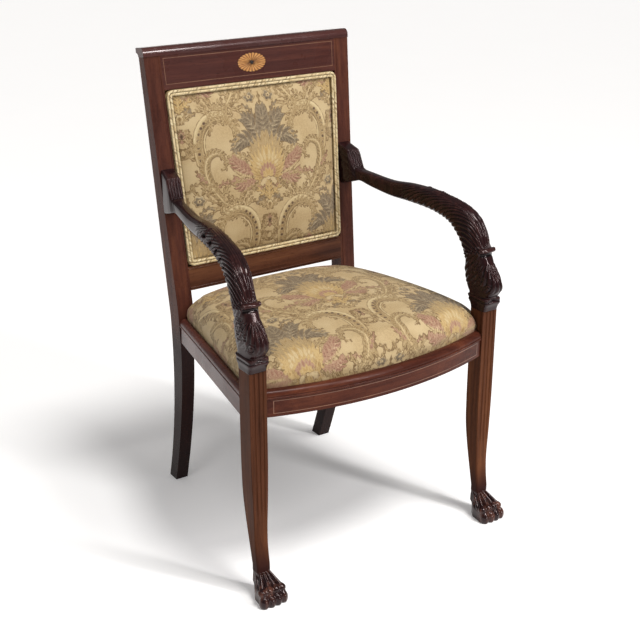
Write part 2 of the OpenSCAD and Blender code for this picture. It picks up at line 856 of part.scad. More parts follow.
// A cushion's grid: its side is drawn from bottom to rim, its top from the given height function
module seat_form(inset, drop, z0, nx, ny) {
    us = [for (i = [0:nx]) bunched(i, nx)];
    vs = [for (i = [0:ny]) bunched(i, ny)];
    grid = [for (v = vs) for (u = us)
        let (y_mid = lerp(seat_front_y(0, inset), seat_back_y - inset, (v + 1) / 2),
            x1 = u * seat_side_x(y_mid, inset),
            y = lerp(seat_front_y(x1, inset), seat_back_y - inset, (v + 1) / 2),
            x = u * seat_side_x(y, inset))
        [x, y, max(z0 + 1, seat_z(u, v) - drop)]];
    w = nx + 1;
    n = w * (ny + 1);
    rim = concat([for (i = [0:nx - 1]) i], [for (j = [0:ny - 1]) j * w + nx],
        [for (i = [0:nx - 1]) ny * w + nx - i], [for (j = [0:ny - 1]) (ny - j) * w]);
    m = len(rim);
    bottom = [for (k = rim) [grid[k][0], grid[k][1], z0]];
    polyhedron(points = concat(grid, bottom, [middle(bottom)]), faces = concat(
        [for (j = [0:ny - 1]) for (i = [0:nx - 1]) let (a = j * w + i)
            each [[a, a + w, a + 1], [a + 1, a + w, a + w + 1]]],
        [for (k = [0:m - 1]) let (next = (k + 1) % m, a = n + k, b = n + next)
            each [[rim[k], rim[next], a], [rim[next], b, a], [a, b, n + m]]]));
}

foam_inset = 12;
foam_z = rail_top + 2 * web_t;

module seat_foam() {
    color(foam_colour) difference() {
        seat_form(foam_inset, cloth_t + 1.4, foam_z, 16, 14);
        notches(seat_gap + cloth_t + 4);
    }
}

module seat_cover() {
    color(cloth) difference() {
        seat_form(0, 0, ledge_z + 0.5, 20, 18);
        notches(seat_gap);
        difference() {
            seat_form(cloth_t, cloth_t, ledge_z - 1, 20, 18);
            notches(seat_gap + cloth_t);
        }
    }
}

dust_t = 0.8;

module seat_dust_cover() {
    color([0.12, 0.12, 0.12]) difference() {
        translate([0, 0, ledge_z - dust_t]) linear_extrude(dust_t) seat_plan(ledge + 2);
        notches(seat_gap + 6);
        translate([0, 0, -1]) both_sides() {
            corner_clear_front();
            corner_clear_rear();
        }
    }
}

module corner_clear_front() {
    translate([front_corner_x, front_corner_y, 0]) rotate([0, 0, 45])
        block([-120, 120], [-80, block_near + block_w + 1], [block_z, rail_top]);
}

module corner_clear_rear() {
    translate([rear_corner_x, back_y, 0]) rotate([0, 0, 135])
        block([-120, 120], [-80, block_near + block_w + 1], [block_z, rail_top]);
}

// Arm: sections from the back post to the front leg, each with the top and bottom point
// of its outline (y from the leg's front face, z), its width and how square it is
arm_run = post_face_y(arm_h) - front_y;
root_x = post_out(arm_h) - arm_root_w / 2 - 2;
collar_x = front_w / 2 - leg_w / 2;
collar_over = (collar_w - leg_w) / 2 - 0.5;
root_top = 54;
root_bottom = 37;
function arm_face(z) = post_face_y(z) - front_y;
function arm_station(top, bottom, width, square) = [top[0], top[1], bottom[0], bottom[1], width / 2, square];
arm_stations = [
    arm_station([arm_face(arm_h + root_top), arm_h + root_top], [arm_face(arm_h - root_bottom), arm_h - root_bottom],
        arm_root_w, 9),
    arm_station([arm_run - 23, arm_h + 50], [arm_run - 29, arm_h - 29], arm_root_w, 8),
    arm_station([arm_run - 36, arm_h + 31], [arm_run - 43, arm_h - 24], arm_root_w - 1, 6),
    arm_station([arm_run - 48, arm_h + 10], [arm_run - 57, arm_h - 22], arm_neck_w + 1, 4),
    arm_station([arm_run * 0.79, arm_h - 1], [arm_run * 0.775, arm_h - 30], arm_neck_w, 3),
    arm_station([arm_run * 0.66, arm_h - 4], [arm_run * 0.645, arm_h - 37], arm_neck_w + 1, 2.7),
    arm_station([arm_run * 0.53, arm_h + 0.5], [arm_run * 0.515, arm_h - 38],
        lerp(arm_neck_w, arm_belly_w, 0.4), 2.6),
    arm_station([arm_run * 0.405, arm_h], [arm_run * 0.39, arm_h - 41], lerp(arm_neck_w, arm_belly_w, 0.75), 2.6),
    arm_station([arm_run * 0.285, arm_h - 7], [arm_run * 0.305, arm_h - 48], arm_belly_w, 2.6),
    arm_station([80, arm_h - 18], [leg_d + 69, arm_h - 58], arm_belly_w + 2, 2.8),
    arm_station([49, arm_h - 38], [leg_d + 52, lerp(leg_top, arm_h, 0.65)], arm_belly_w + 2, 2.8),
    arm_station([31, lerp(leg_top, arm_h, 0.70)], [leg_d + 41, lerp(leg_top, arm_h, 0.58)], arm_belly_w + 1, 2.8),
    arm_station([22, lerp(leg_top, arm_h, 0.60)], [leg_d + 34, lerp(leg_top, arm_h, 0.515)], arm_belly_w, 2.8),
    arm_station([12, lerp(leg_top, arm_h, 0.56)], [leg_d + 32, lerp(leg_top, arm_h, 0.49)], arm_belly_w, 3),
    arm_station([13, lerp(leg_top, arm_h, 0.515)], [leg_d + 30, lerp(leg_top, arm_h, 0.46)], arm_belly_w - 1, 3),
    arm_station([5, lerp(leg_top, arm_h, 0.44)], [leg_d + 28, lerp(leg_top, arm_h, 0.41)], arm_belly_w - 3, 3),
    arm_station([-6, lerp(leg_top, arm_h, 0.38)], [leg_d + 30, lerp(leg_top, arm_h, 0.37)], arm_belly_w - 1, 3),
    arm_station([-16, leg_top + 68], [leg_d + 28, leg_top + 67], arm_belly_w, 3),
    arm_station([-21, leg_top + 53], [leg_d + 25, leg_top + 53], arm_belly_w, 3.2),
    arm_station([-15, leg_top + 39], [leg_d + 19, leg_top + 39], arm_belly_w - 2, 3.4),
    arm_station([-6, leg_top + 29], [leg_d + 12, leg_top + 29], arm_belly_w - 2, 4),
    arm_station([-8, leg_top + 24], [leg_d + 9, leg_top + 24], collar_w, 8),
    arm_station([-9, leg_top + 18], [leg_d + 8, leg_top + 18], collar_w + 1, 8),
    arm_station([-6, leg_top + 9], [leg_d + 5, leg_top + 9], collar_w - 1, 8),
    arm_station([-collar_over, leg_top], [leg_d + collar_over, leg_top], leg_w + 2 * collar_over, 9)];

arm_sides = 32;
arm_sub = 2;
last_station = len(arm_stations) - 1;
function at_station(i) = arm_stations[min(last_station, max(0, i))];
function spline(a, b, c, d, t) = b + (c - a) * t / 2 + (2 * a - 5 * b + 4 * c - d) * t * t / 2
    + (3 * b - a - 3 * c + d) * t * t * t / 2;
function arm_at(u) = let (i = min(last_station - 1, floor(u)), t = u - i)
    spline(at_station(i - 1), at_station(i), at_station(i + 1), at_station(i + 2), t);
function arm_x(y) = lerp(collar_x, root_x, clamp01((y - leg_d) / (arm_run - leg_d)));

// Carved ribs: how deep they are along the arm, over the top and front of the leaf and the belly
leaf_from = 6.5;
leaf_to = 12.5;
belly_from = 15.5;
belly_to = 19.5;
rib_depth = 1.3;
function hump(u, a, b) = u > a && u < b ? pow(sin(180 * (u - a) / (b - a)), 0.5) : 0;
function ribs(u) = rib_depth * (hump(u, leaf_from, leaf_to) + hump(u, belly_from, belly_to));
function arm_ring(u) =
    let (st = arm_at(u), cy = (st[0] + st[2]) / 2, cz = (st[1] + st[3]) / 2,
        hy = (st[0] - st[2]) / 2, hz = (st[1] - st[3]) / 2, deep = ribs(u) / norm([hy, hz]))
    [for (j = [0:arm_sides - 1])
        let (a = 360 * (j + 0.5) / arm_sides, c = cos(a), s = sin(a), e = 2 / st[5],
            cut = j % 2 == 0 ? 1 : 1 - deep * clamp01(s * 2 + 1),
            across = sign(c) * pow(abs(c), e) * st[4] * cut, along = sign(s) * pow(abs(s), e) * cut,
            y = cy + hy * along)
        [arm_x(y) + across, front_y + y, cz + hz * along]];

module arm_solid() {
    rings = [for (i = [0:last_station * arm_sub]) arm_ring(i / arm_sub)];
    loft(rings, middle(rings[0]), middle(rings[len(rings) - 1]));
}

arm_dowel_in = dowel_l / 2;

module arm_dowel(play) {
    translate([collar_x, front_y + leg_d / 2, leg_top - arm_dowel_in - play])
        cylinder(d = dowel_d + 2 * play, h = dowel_l + 2 * play);
}

module arm_dowels() {
    color(pale_wood) both_sides() arm_dowel(0);
}

// A screw from behind each back post into the arm's root, hidden by a plug
arm_screw_l = 45;
plug_d = 12;
plug_l = 6;
arm_screw_s = up(arm_h + 8);
function post_depth_at(z) = lerp(post_d, post_top_d, (z - rail_top) / (height_at(cap_s) - rail_top));
plug_t = post_depth_at(arm_h) + 1;

module on_arm_screw() {
    on_rake() translate([root_x, 0, arm_screw_s]) rotate([90, 0, 0]) children();
}

module arm_screw_shape(hole) {
    seat_t = plug_t - plug_l - 4;
    translate([0, 0, -seat_t]) screw(arm_screw_l, hole);
}

module arm_screw_hole() {
    on_arm_screw() {
        translate([0, 0, -plug_t - 10]) cylinder(d = plug_d, h = plug_l + 11);
        arm_screw_shape(true);
    }
}

module arm_screws() {
    color(steel) both_sides() on_arm_screw() arm_screw_shape(false);
}

module arm_screw_plugs() {
    color(wood) both_sides() intersection() {
        on_arm_screw() translate([0, 0, -plug_t - 10]) cylinder(d = plug_d, h = plug_l + 11);
        along_x(0, top_w) polygon(post_profile());
    }
}

module arm() {
    difference() {
        arm_solid();
        arm_dowel(fit);
        on_arm_screw() arm_screw_shape(true);
    }
}

// The padded back fills the opening between posts, crest panel and lower rail
pad_s0 = lower_top_s + back_gap;
pad_s1 = crest_s - back_gap;
board_front = 3;
function pad_half(s, inset) = post_in(height_at(s)) - back_gap - inset;

// Outline with round corners, counter-clockwise from the lower right corner
function pad_outline(inset, r, arc_n, edge_n) =
    let (s0 = pad_s0 + inset, s1 = pad_s1 - inset, x0 = pad_half(s0, inset) - r, x1 = pad_half(s1, inset) - r,
        low = [for (i = [1:edge_n - 1]) [lerp(-x0, x0, i / edge_n), s0]],
        right = [for (i = [1:edge_n - 1]) [lerp(x0 + r, x1 + r, i / edge_n), lerp(s0 + r, s1 - r, i / edge_n)]],
        high = [for (i = [1:edge_n - 1]) [lerp(x1, -x1, i / edge_n), s1]],
        left = [for (i = [1:edge_n - 1]) [-lerp(x1 + r, x0 + r, i / edge_n), lerp(s1 - r, s0 + r, i / edge_n)]])
    concat(low, arc(x0, s0 + r, r, -90, 0, arc_n), right, arc(x1, s1 - r, r, 0, 90, arc_n),
        high, arc(-x1, s1 - r, r, 90, 180, arc_n), left, arc(-x0, s0 + r, r, 180, 270, arc_n));

// A loft of shrinking outlines towards the middle, crowned forwards (-Y up the leaning face)
pad_rings = 10;
pad_arc = 5;
pad_edge = 7;
pad_rim_t = -0.5;
pad_flat = 2 * piping_d;
pad_mid_s = (pad_s0 + pad_s1) / 2;

// How far the padding stands in front of its flat rim
function pad_swell(x, s) = (back_crown + pad_rim_t) * dome(x / pad_half(s, pad_flat), 2.4, 0.62)
    * dome((s - pad_mid_s) / (pad_s1 - pad_mid_s - pad_flat), 2.4, 0.62);

// One layer of the padding: its side stands at the inset, and it is flat under the piping
module pad_form(inset, drop, back_t) {
    side = pad_outline(inset, back_corner - inset, pad_arc, pad_edge);
    flat = pad_outline(pad_flat, back_corner - pad_flat * 0.6, pad_arc, pad_edge);
    rings = concat([[for (p = side) [p[0], back_t, p[1]]], [for (p = side) [p[0], pad_rim_t + drop, p[1]]]],
        [for (k = [0:pad_rings - 1]) let (f = sin(90 * k / pad_rings))
            [for (p = flat) let (x = p[0] * (1 - f), s = lerp(p[1], pad_mid_s, f))
                [x, pad_rim_t + drop - (k == 0 ? 0 : pad_swell(x, s)), s]]]);
    on_rake() loft(rings, [0, back_t, pad_mid_s], [0, drop - back_crown, pad_mid_s]);
}

module back_foam() {
    color(foam_colour) pad_form(cloth_t + 0.4, cloth_t + 0.4, board_front);
}

module back_cover() {
    color(cloth) difference() {
        pad_form(0, 0, board_front);
        pad_form(cloth_t, cloth_t, board_front + 1);
    }
}

module back_board() {
    color(pale_wood) difference() {
        on_rake() translate([0, board_front + board_t, 0]) rotate([90, 0, 0]) linear_extrude(board_t)
            polygon(pad_outline(0, back_corner, pad_arc, 1));
        both_sides() board_screws(fit);
    }
}

module piping_loop(inset, t) {
    path = pad_outline(inset, back_corner - inset, pad_arc, 4);
    n = len(path);
    sides = 6;
    r = piping_d / 2;
    pts = [for (i = [0:n - 1]) let (a = path[(i + n - 1) % n], b = path[(i + 1) % n], d = (b - a) / norm(b - a))
        for (k = [0:sides - 1]) let (q = 360 * k / sides)
            [path[i][0] + d[1] * r * cos(q), t + r * sin(q), path[i][1] - d[0] * r * cos(q)]];
    on_rake() polyhedron(points = pts, faces = [for (i = [0:n - 1]) for (k = [0:sides - 1])
        let (a = i * sides + k, b = i * sides + (k + 1) % sides,
            c = ((i + 1) % n) * sides + k, d = ((i + 1) % n) * sides + (k + 1) % sides)
        each [[a, c, b], [b, c, d]]]);
}

module back_piping_outer() {
    color(cloth) piping_loop(piping_d / 2, pad_rim_t - piping_d / 2);
}

module back_piping_inner() {
    color(cloth) piping_loop(piping_d * 1.5, pad_rim_t - piping_d / 2);
}

// Battens round the opening behind the board, and the panel that closes the back
batten_t0 = board_front + board_t;

module back_batten_side() {
    difference() {
        intersection() {
            on_rake() block([0, top_w], [batten_t0, batten_t0 + batten_t], [lower_top_s, crest_s]);
            between_posts(rail_top, overall_h, 0);
        }
        between_posts(rail_top - 1, overall_h + 1, batten_w);
        board_screws(fit);
    }
}

module back_batten_cross(s) {
    intersection() {
        on_rake() block([-top_w, top_w], [batten_t0, batten_t0 + batten_t], [s, s + batten_w]);
        between_posts(rail_top, overall_h, batten_w);
    }
}

board_screw_l = batten_t + board_t - 2;
board_screw_d = screw_d * 0.7;

module board_screws(play) {
    for (f = [0.12, 0.5, 0.88]) {
        s = lerp(pad_s0, pad_s1, f);
        on_rake() translate([pad_half(s, 0) - batten_w / 2, batten_t0 + batten_t, s]) rotate([90, 0, 0])
            cylinder(d = board_screw_d + 2 * play, h = board_screw_l + play);
    }
}

module back_board_screws() {
    color(steel) both_sides() board_screws(0);
}

panel_t = 2;

module outside_back() {
    t0 = batten_t0 + batten_t + 0.2;
    color(cloth) on_rake() translate([0, t0 + panel_t, 0]) rotate([90, 0, 0]) linear_extrude(panel_t)
        polygon(pad_outline(0.4, 3, 3, 1));
}

module front_leg_left() { color(wood) mirror([1, 0, 0]) front_leg(); }
module front_leg_right() { color(wood) front_leg(); }
module rear_leg_left() { color(wood) mirror([1, 0, 0]) rear_leg(); }
module rear_leg_right() { color(wood) rear_leg(); }
module arm_left() { color(dark_wood) mirror([1, 0, 0]) arm(); }
module arm_right() { color(dark_wood) arm(); }
module side_rail_left() { color(wood) mirror([1, 0, 0]) side_rail(); }
module side_rail_right() { color(wood) side_rail(); }
module corner_block_front_left() { color(pale_wood) mirror([1, 0, 0]) corner_block_front(); }
module corner_block_front_right() { color(pale_wood) corner_block_front(); }
module corner_block_rear_left() { color(pale_wood) mirror([1, 0, 0]) corner_block_rear(); }
module corner_block_rear_right() { color(pale_wood) corner_block_rear(); }
module slip_frame_left() { mirror([1, 0, 0]) slip_side(); }
module slip_frame_right() { slip_side(); }
module back_batten_left() { color(pale_wood) mirror([1, 0, 0]) back_batten_side(); }
module back_batten_right() { color(pale_wood) back_batten_side(); }
module back_batten_top() { color(pale_wood) back_batten_cross(crest_s - batten_w); }
module back_batten_bottom() { color(pale_wood) back_batten_cross(lower_top_s); }

front_leg_left();
front_leg_right();
rear_leg_left();
rear_leg_right();
arm_left();
arm_right();
crest_cap();
crest_panel();
lower_back_rail();
front_rail();
side_rail_left();
side_rail_right();
rear_rail();
corner_block_front_left();
corner_block_front_right();
corner_block_rear_left();
corner_block_rear_right();
corner_block_screws();
seat_screws();
arm_dowels();
arm_screws();
arm_screw_plugs();
cap_dowels();
patera_rays();
patera_dot();
crest_stringing();
rail_stringing();
slip_frame_front();
slip_frame_rear();
slip_frame_left();
slip_frame_right();
seat_webbing();
seat_foam();
seat_cover();
seat_dust_cover();
back_board();
back_batten_left();
back_batten_right();
back_batten_top();
back_batten_bottom();
back_board_screws();
back_foam();
back_cover();
back_piping_outer();
back_piping_inner();
outside_back();
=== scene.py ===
"""Looks of the carved open armchair: camera, light, materials, carved arms and paws, padding and piping."""
from math import atan, cos, pi, radians, sin, sqrt

import bmesh
import bpy
import numpy as np
from mathutils import Matrix, Vector
from mathutils.geometry import delaunay_2d_cdt


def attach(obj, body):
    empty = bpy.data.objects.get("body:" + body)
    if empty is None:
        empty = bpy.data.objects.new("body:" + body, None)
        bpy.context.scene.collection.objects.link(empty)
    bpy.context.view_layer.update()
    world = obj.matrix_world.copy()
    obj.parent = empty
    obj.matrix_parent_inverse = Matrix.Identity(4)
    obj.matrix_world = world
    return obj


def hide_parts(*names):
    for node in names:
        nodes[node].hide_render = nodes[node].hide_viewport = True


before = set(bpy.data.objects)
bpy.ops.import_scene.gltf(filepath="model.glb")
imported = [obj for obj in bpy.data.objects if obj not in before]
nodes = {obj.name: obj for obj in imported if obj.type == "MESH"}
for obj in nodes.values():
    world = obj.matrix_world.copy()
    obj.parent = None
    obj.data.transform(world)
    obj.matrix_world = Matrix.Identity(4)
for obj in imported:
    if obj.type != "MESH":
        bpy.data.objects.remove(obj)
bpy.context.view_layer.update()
scene = bpy.context.scene
MM = 0.001


def srgb(r, g, b):
    return tuple(((c / 255 + 0.055) / 1.055) ** 2.4 if c > 10 else c / 255 / 12.92 for c in (r, g, b)) + (1.0,)


# Main sizes of the construction, in millimetres
FRONT_Y, BACK_Y = -231.5, 168.5
RAIL_TOP, WALL_T = 418.0, 14.0
LEG_D, LEG_W, LEG_TOP, ARM_H = 38.0, 36.0, 462.0, 677.0
LEG_OUT = 577 / 2
LEG_IN = LEG_OUT - LEG_W
TOP_Z, RAKE_Z0 = 965.0, 438.0
RAKE_SLOPE = 64 / (TOP_Z - RAKE_Z0)
RAKE_A = atan(RAKE_SLOPE)


def post_out(z):
    return 222 + 19 / 547 * (z - RAIL_TOP)


def on_rake(x, t, s):
    """A point by its place on the leaning back: t behind the face, s up the slope."""
    return np.stack(np.broadcast_arrays(x, BACK_Y + t * cos(RAKE_A) + s * sin(RAKE_A),
                                        RAKE_Z0 + s * cos(RAKE_A) - t * sin(RAKE_A)), -1)


# Materials

class Shader:
    """A node material built by short calls that return an output socket; set returns the material."""

    def __init__(self, name):
        self.mat = bpy.data.materials.new(name)
        self.mat.use_nodes = True
        self.tree = self.mat.node_tree
        self.tree.nodes.clear()
        out = self.tree.nodes.new("ShaderNodeOutputMaterial")
        self.bsdf = self.tree.nodes.new("ShaderNodeBsdfPrincipled")
        self.tree.links.new(self.bsdf.outputs[0], out.inputs[0])

    def put(self, socket, value):
        if isinstance(value, bpy.types.NodeSocket):
            self.tree.links.new(value, socket)
        else:
            socket.default_value = value

    def node(self, kind, out=0, **settings):
        """Settings are the node's own properties, inputs by name, or inputs by number as i0, i1 and so on."""
        n = self.tree.nodes.new("ShaderNode" + kind)
        for k, v in settings.items():
            if hasattr(n, k):
                setattr(n, k, v)
            else:
                self.put(n.inputs[int(k[1:]) if k[1:].isdigit() else k.replace("_", " ")], v)
        return n.outputs[out]

    def math(self, op, a, b=0.0, c=0.0):
        return self.node("Math", operation=op, i0=a, i1=b, i2=c)

    def times(self, a, b):
        return self.math("MULTIPLY", a, b)

    def scaled(self, a, b, add):
        return self.math("MULTIPLY_ADD", a, b, add)

    def ramp(self, fac, lo, hi, a=0.0, b=1.0, smooth=True):
        return self.node("MapRange", interpolation_type="SMOOTHSTEP" if smooth else "LINEAR", Value=fac, From_Min=lo,
                         From_Max=hi, To_Min=a, To_Max=b)

    def mix(self, fac, a, b, blend="MIX"):
        return self.node("Mix", out=2, data_type="RGBA", blend_type=blend, i0=fac, i6=a, i7=b)

    def coords(self, scale=(1, 1, 1), rot=(0, 0, 0)):
        return self.node("Mapping", Vector=self.node("TexCoord", out=3), Scale=scale, Rotation=rot)

    def noise(self, vec, scale=1.0, detail=3.0, rough=0.5, distort=0.0):
        return self.node("TexNoise", Vector=vec, Scale=scale, Detail=detail, Roughness=rough, Distortion=distort)

    def wave(self, vec, axis, scale, distort, fine=1.0):
        return self.node("TexWave", bands_direction=axis, Vector=vec, Scale=scale, Distortion=distort,
                         Detail_Scale=fine)

    def attr(self, name):
        return self.node("Attribute", out=2, attribute_name=name)

    def bump(self, height, distance, strength, **normal):
        return self.node("Bump", Height=height, Distance=distance, Strength=strength, **normal)

    def set(self, **inputs):
        for k, v in inputs.items():
            self.put(self.bsdf.inputs[k.replace("_", " ")], v)
        return self.mat


def wood(name, axis, dark, mid, light, turn=0.0, rough=0.26, coat=0.15, level=0.22, pores=1.0, carved=False,
         fade=None):
    """Polished wood with its grain along one axis; fade darkens it between two heights."""
    sh = Shader(name)
    dark, mid, light = srgb(*dark), srgb(*mid), srgb(*light)

    def grain(along, across, **look):
        return sh.noise(sh.coords(tuple(along if k == axis else across for k in "xyz"), (0, 0, turn)), **look)

    streak = grain(1.6, 42, detail=5, rough=0.6, distort=0.35)
    ribbon = grain(5, 110, rough=0.55, distort=0.2)
    broad = grain(2.5, 9, detail=2)
    fine = grain(22, 620, detail=4, rough=0.7)
    pore = sh.ramp(grain(55, 1500, detail=2), 0.60, 0.70)
    tone = sh.scaled(streak, 0.5, sh.times(ribbon, 0.3))
    tone = sh.math("ADD", tone, sh.scaled(fine, 0.14, sh.times(broad, 0.16)))
    col = sh.mix(sh.ramp(tone, 0.39, 0.55, smooth=False), dark, mid)
    col = sh.mix(sh.ramp(tone, 0.55, 0.71, smooth=False), col, light)
    col = sh.mix(sh.times(pore, 0.55 * pores), col, dark, "MULTIPLY")
    if fade:
        clear_z, dark_z, share, shade = fade
        height_z = sh.node("SeparateXYZ", out=2, Vector=sh.coords())
        col = sh.mix(sh.ramp(height_z, clear_z, dark_z, 0, share), col, srgb(*shade))
    soft_edge = {}
    if carved:
        point = sh.node("NewGeometry", out=7)
        relief = sh.attr("relief")
        # Ridges of the carving are drawn lighter: partly wear, partly painted highlight.
        wear_and_highlight = sh.math("MAXIMUM", sh.ramp(point, 0.51, 0.58), sh.ramp(relief, 0.4, 1.4))
        # Painted shade: grooves and hollows of the carving are drawn near black.
        groove_shade = sh.math("MAXIMUM", sh.ramp(point, 0.49, 0.43), sh.ramp(relief, -0.5, -2.0))
        col = sh.mix(sh.times(wear_and_highlight, 0.45), col, light)
        col = sh.mix(sh.times(groove_shade, 0.9), col, srgb(10, 6, 8))
    else:
        soft_edge["Normal"] = sh.node("Bevel", samples=4, Radius=0.0008)
    height = sh.scaled(fine, 0.25, sh.times(pore, -0.6 * pores))
    cloud = sh.noise(sh.coords((14, 14, 14)))
    return sh.set(Base_Color=col, Roughness=sh.ramp(cloud, 0.3, 0.7, rough - 0.05, rough + 0.09),
                  Normal=sh.bump(height, 0.00012, 0.5, **soft_edge), Coat_Weight=coat, Coat_Roughness=0.12,
                  Coat_IOR=1.45, Specular_IOR_Level=level, Specular_Tint=(1.0, 0.84, 0.83, 1))


# Woven pattern: a half-drop repeat of a palmette between leafy scroll arches, in millimetres.
# Each shape is drawn over the ones before it, and the pattern is mirrored at x = 0.
REPEAT_W, REPEAT_H = 362.0, 392.0
CLASSES = ("olive", "grey", "rust", "gold", "dark", "cream")


def clamp01(t):
    return np.clip(t, 0, 1)


def lengths(path):
    """Distance along a path from its first point to each of its points."""
    return np.concatenate([[0], np.cumsum(np.linalg.norm(np.diff(path, axis=0), axis=1))])


def spline(a, b, c, d, t):
    """A smooth curve from b to c, led by the points before and after them."""
    return b + (c - a) * t / 2 + (2 * a - 5 * b + 4 * c - d) * t ** 2 / 2 + (3 * b - a - 3 * c + d) * t ** 3 / 2


def smooth_path(pts, n):
    p = np.array(pts, float)
    if len(p) == 2:
        return p[0] + (p[1] - p[0]) * np.linspace(0, 1, n)[:, None]
    q = np.vstack([2 * p[0] - p[1], p, 2 * p[-1] - p[-2]])
    t = np.linspace(0, len(p) - 1.0001, n)
    i = t.astype(int)
    return spline(q[i], q[i + 1], q[i + 2], q[i + 3], (t - i)[:, None])


def leaf(kind, pts, width, base, veins=0.0, point=False):
    """A stroke along a curve: base is its share of the width at the start, and point makes its end sharp."""
    p = np.array(pts, float)
    return {"kind": kind, "pts": p, "width": width, "base": base, "veins": veins, "point": point,
            "box": (*(p.min(0) - width), *(p.max(0) + width))}


def disc(kind, x, y, rx, ry, petals=0, depth=0.2):
    return {"kind": kind, "disc": (x, y, rx, ry), "petals": petals, "depth": depth, "veins": 0.6,
            "box": (x - rx, y - ry, x + rx, y + ry)}


def row_of(kind, pts, n, rx, ry):
    path = smooth_path(pts, n * 6)
    return [disc(kind, *path[int((i + 0.5) / n * (len(path) - 1))], rx, ry) for i in range(n)]


def turned(v, angle):
    c, s = cos(angle), sin(angle)
    return np.array([v[0] * c - v[1] * s, v[0] * s + v[1] * c])


def acanthus(kind, width, n, *spine, spread=66):
    """A leaf made of a body and of lobes that leave its spine and curl towards its tip."""
    pts = [spine[i:i + 2] for i in range(0, len(spine), 2)]
    sides = (-1, 1) if any(spine[::2]) else (-1,)
    path = smooth_path(pts, 60)
    tangent = np.gradient(path, axis=0)
    tangent /= np.linalg.norm(tangent, axis=1)[:, None]
    total = lengths(path)[-1]
    n = max(n, int(total / 9.0))
    out = [leaf(kind, pts, width * 0.26, 0.8)]
    for i in range(n):
        f = 0.04 + 0.84 * i / (n - 1)
        p, t = path[int(f * 59)], tangent[int(f * 59)]
        size = width * min(1.0, 0.6 + 1.3 * f) * sqrt(1 - f ** 2.6)
        for side in sides:
            away = turned(t, side * radians(spread - 26 * f)) * size
            ahead = turned(t, side * radians(2)) * size
            lobe = [p, p + away * 0.5, p + away * 0.82 + ahead * 0.2, p + away * 0.9 + ahead * 0.62]
            out.append(leaf(kind, lobe, min(total / n * 0.5, size * 0.28), 0.6, 1.0, True))
    out.append(leaf(kind, [path[34], path[48], path[59]], width * 0.2, 0.5, 1.0, True))
    return out


def petals(kind, centre_y, angles, length, width, start, bend):
    """Petals that spread from one point; the ones in the middle lie on top."""
    out = []
    centre = np.array((0.0, centre_y))
    for a in sorted(angles, key=lambda v: -abs(v - 90)):
        d = turned((1, 0), radians(a))
        e = turned(d, radians(bend if a < 90 else -bend))
        reach = length * (0.5 + 0.5 * sin(radians(max(a, 0))))
        pts = [centre + d * start, centre + d * reach * 0.6, centre + d * reach * 0.72 + e * reach * 0.28]
        out.append(leaf(kind, pts, width, 0.45, point=True))
    return out


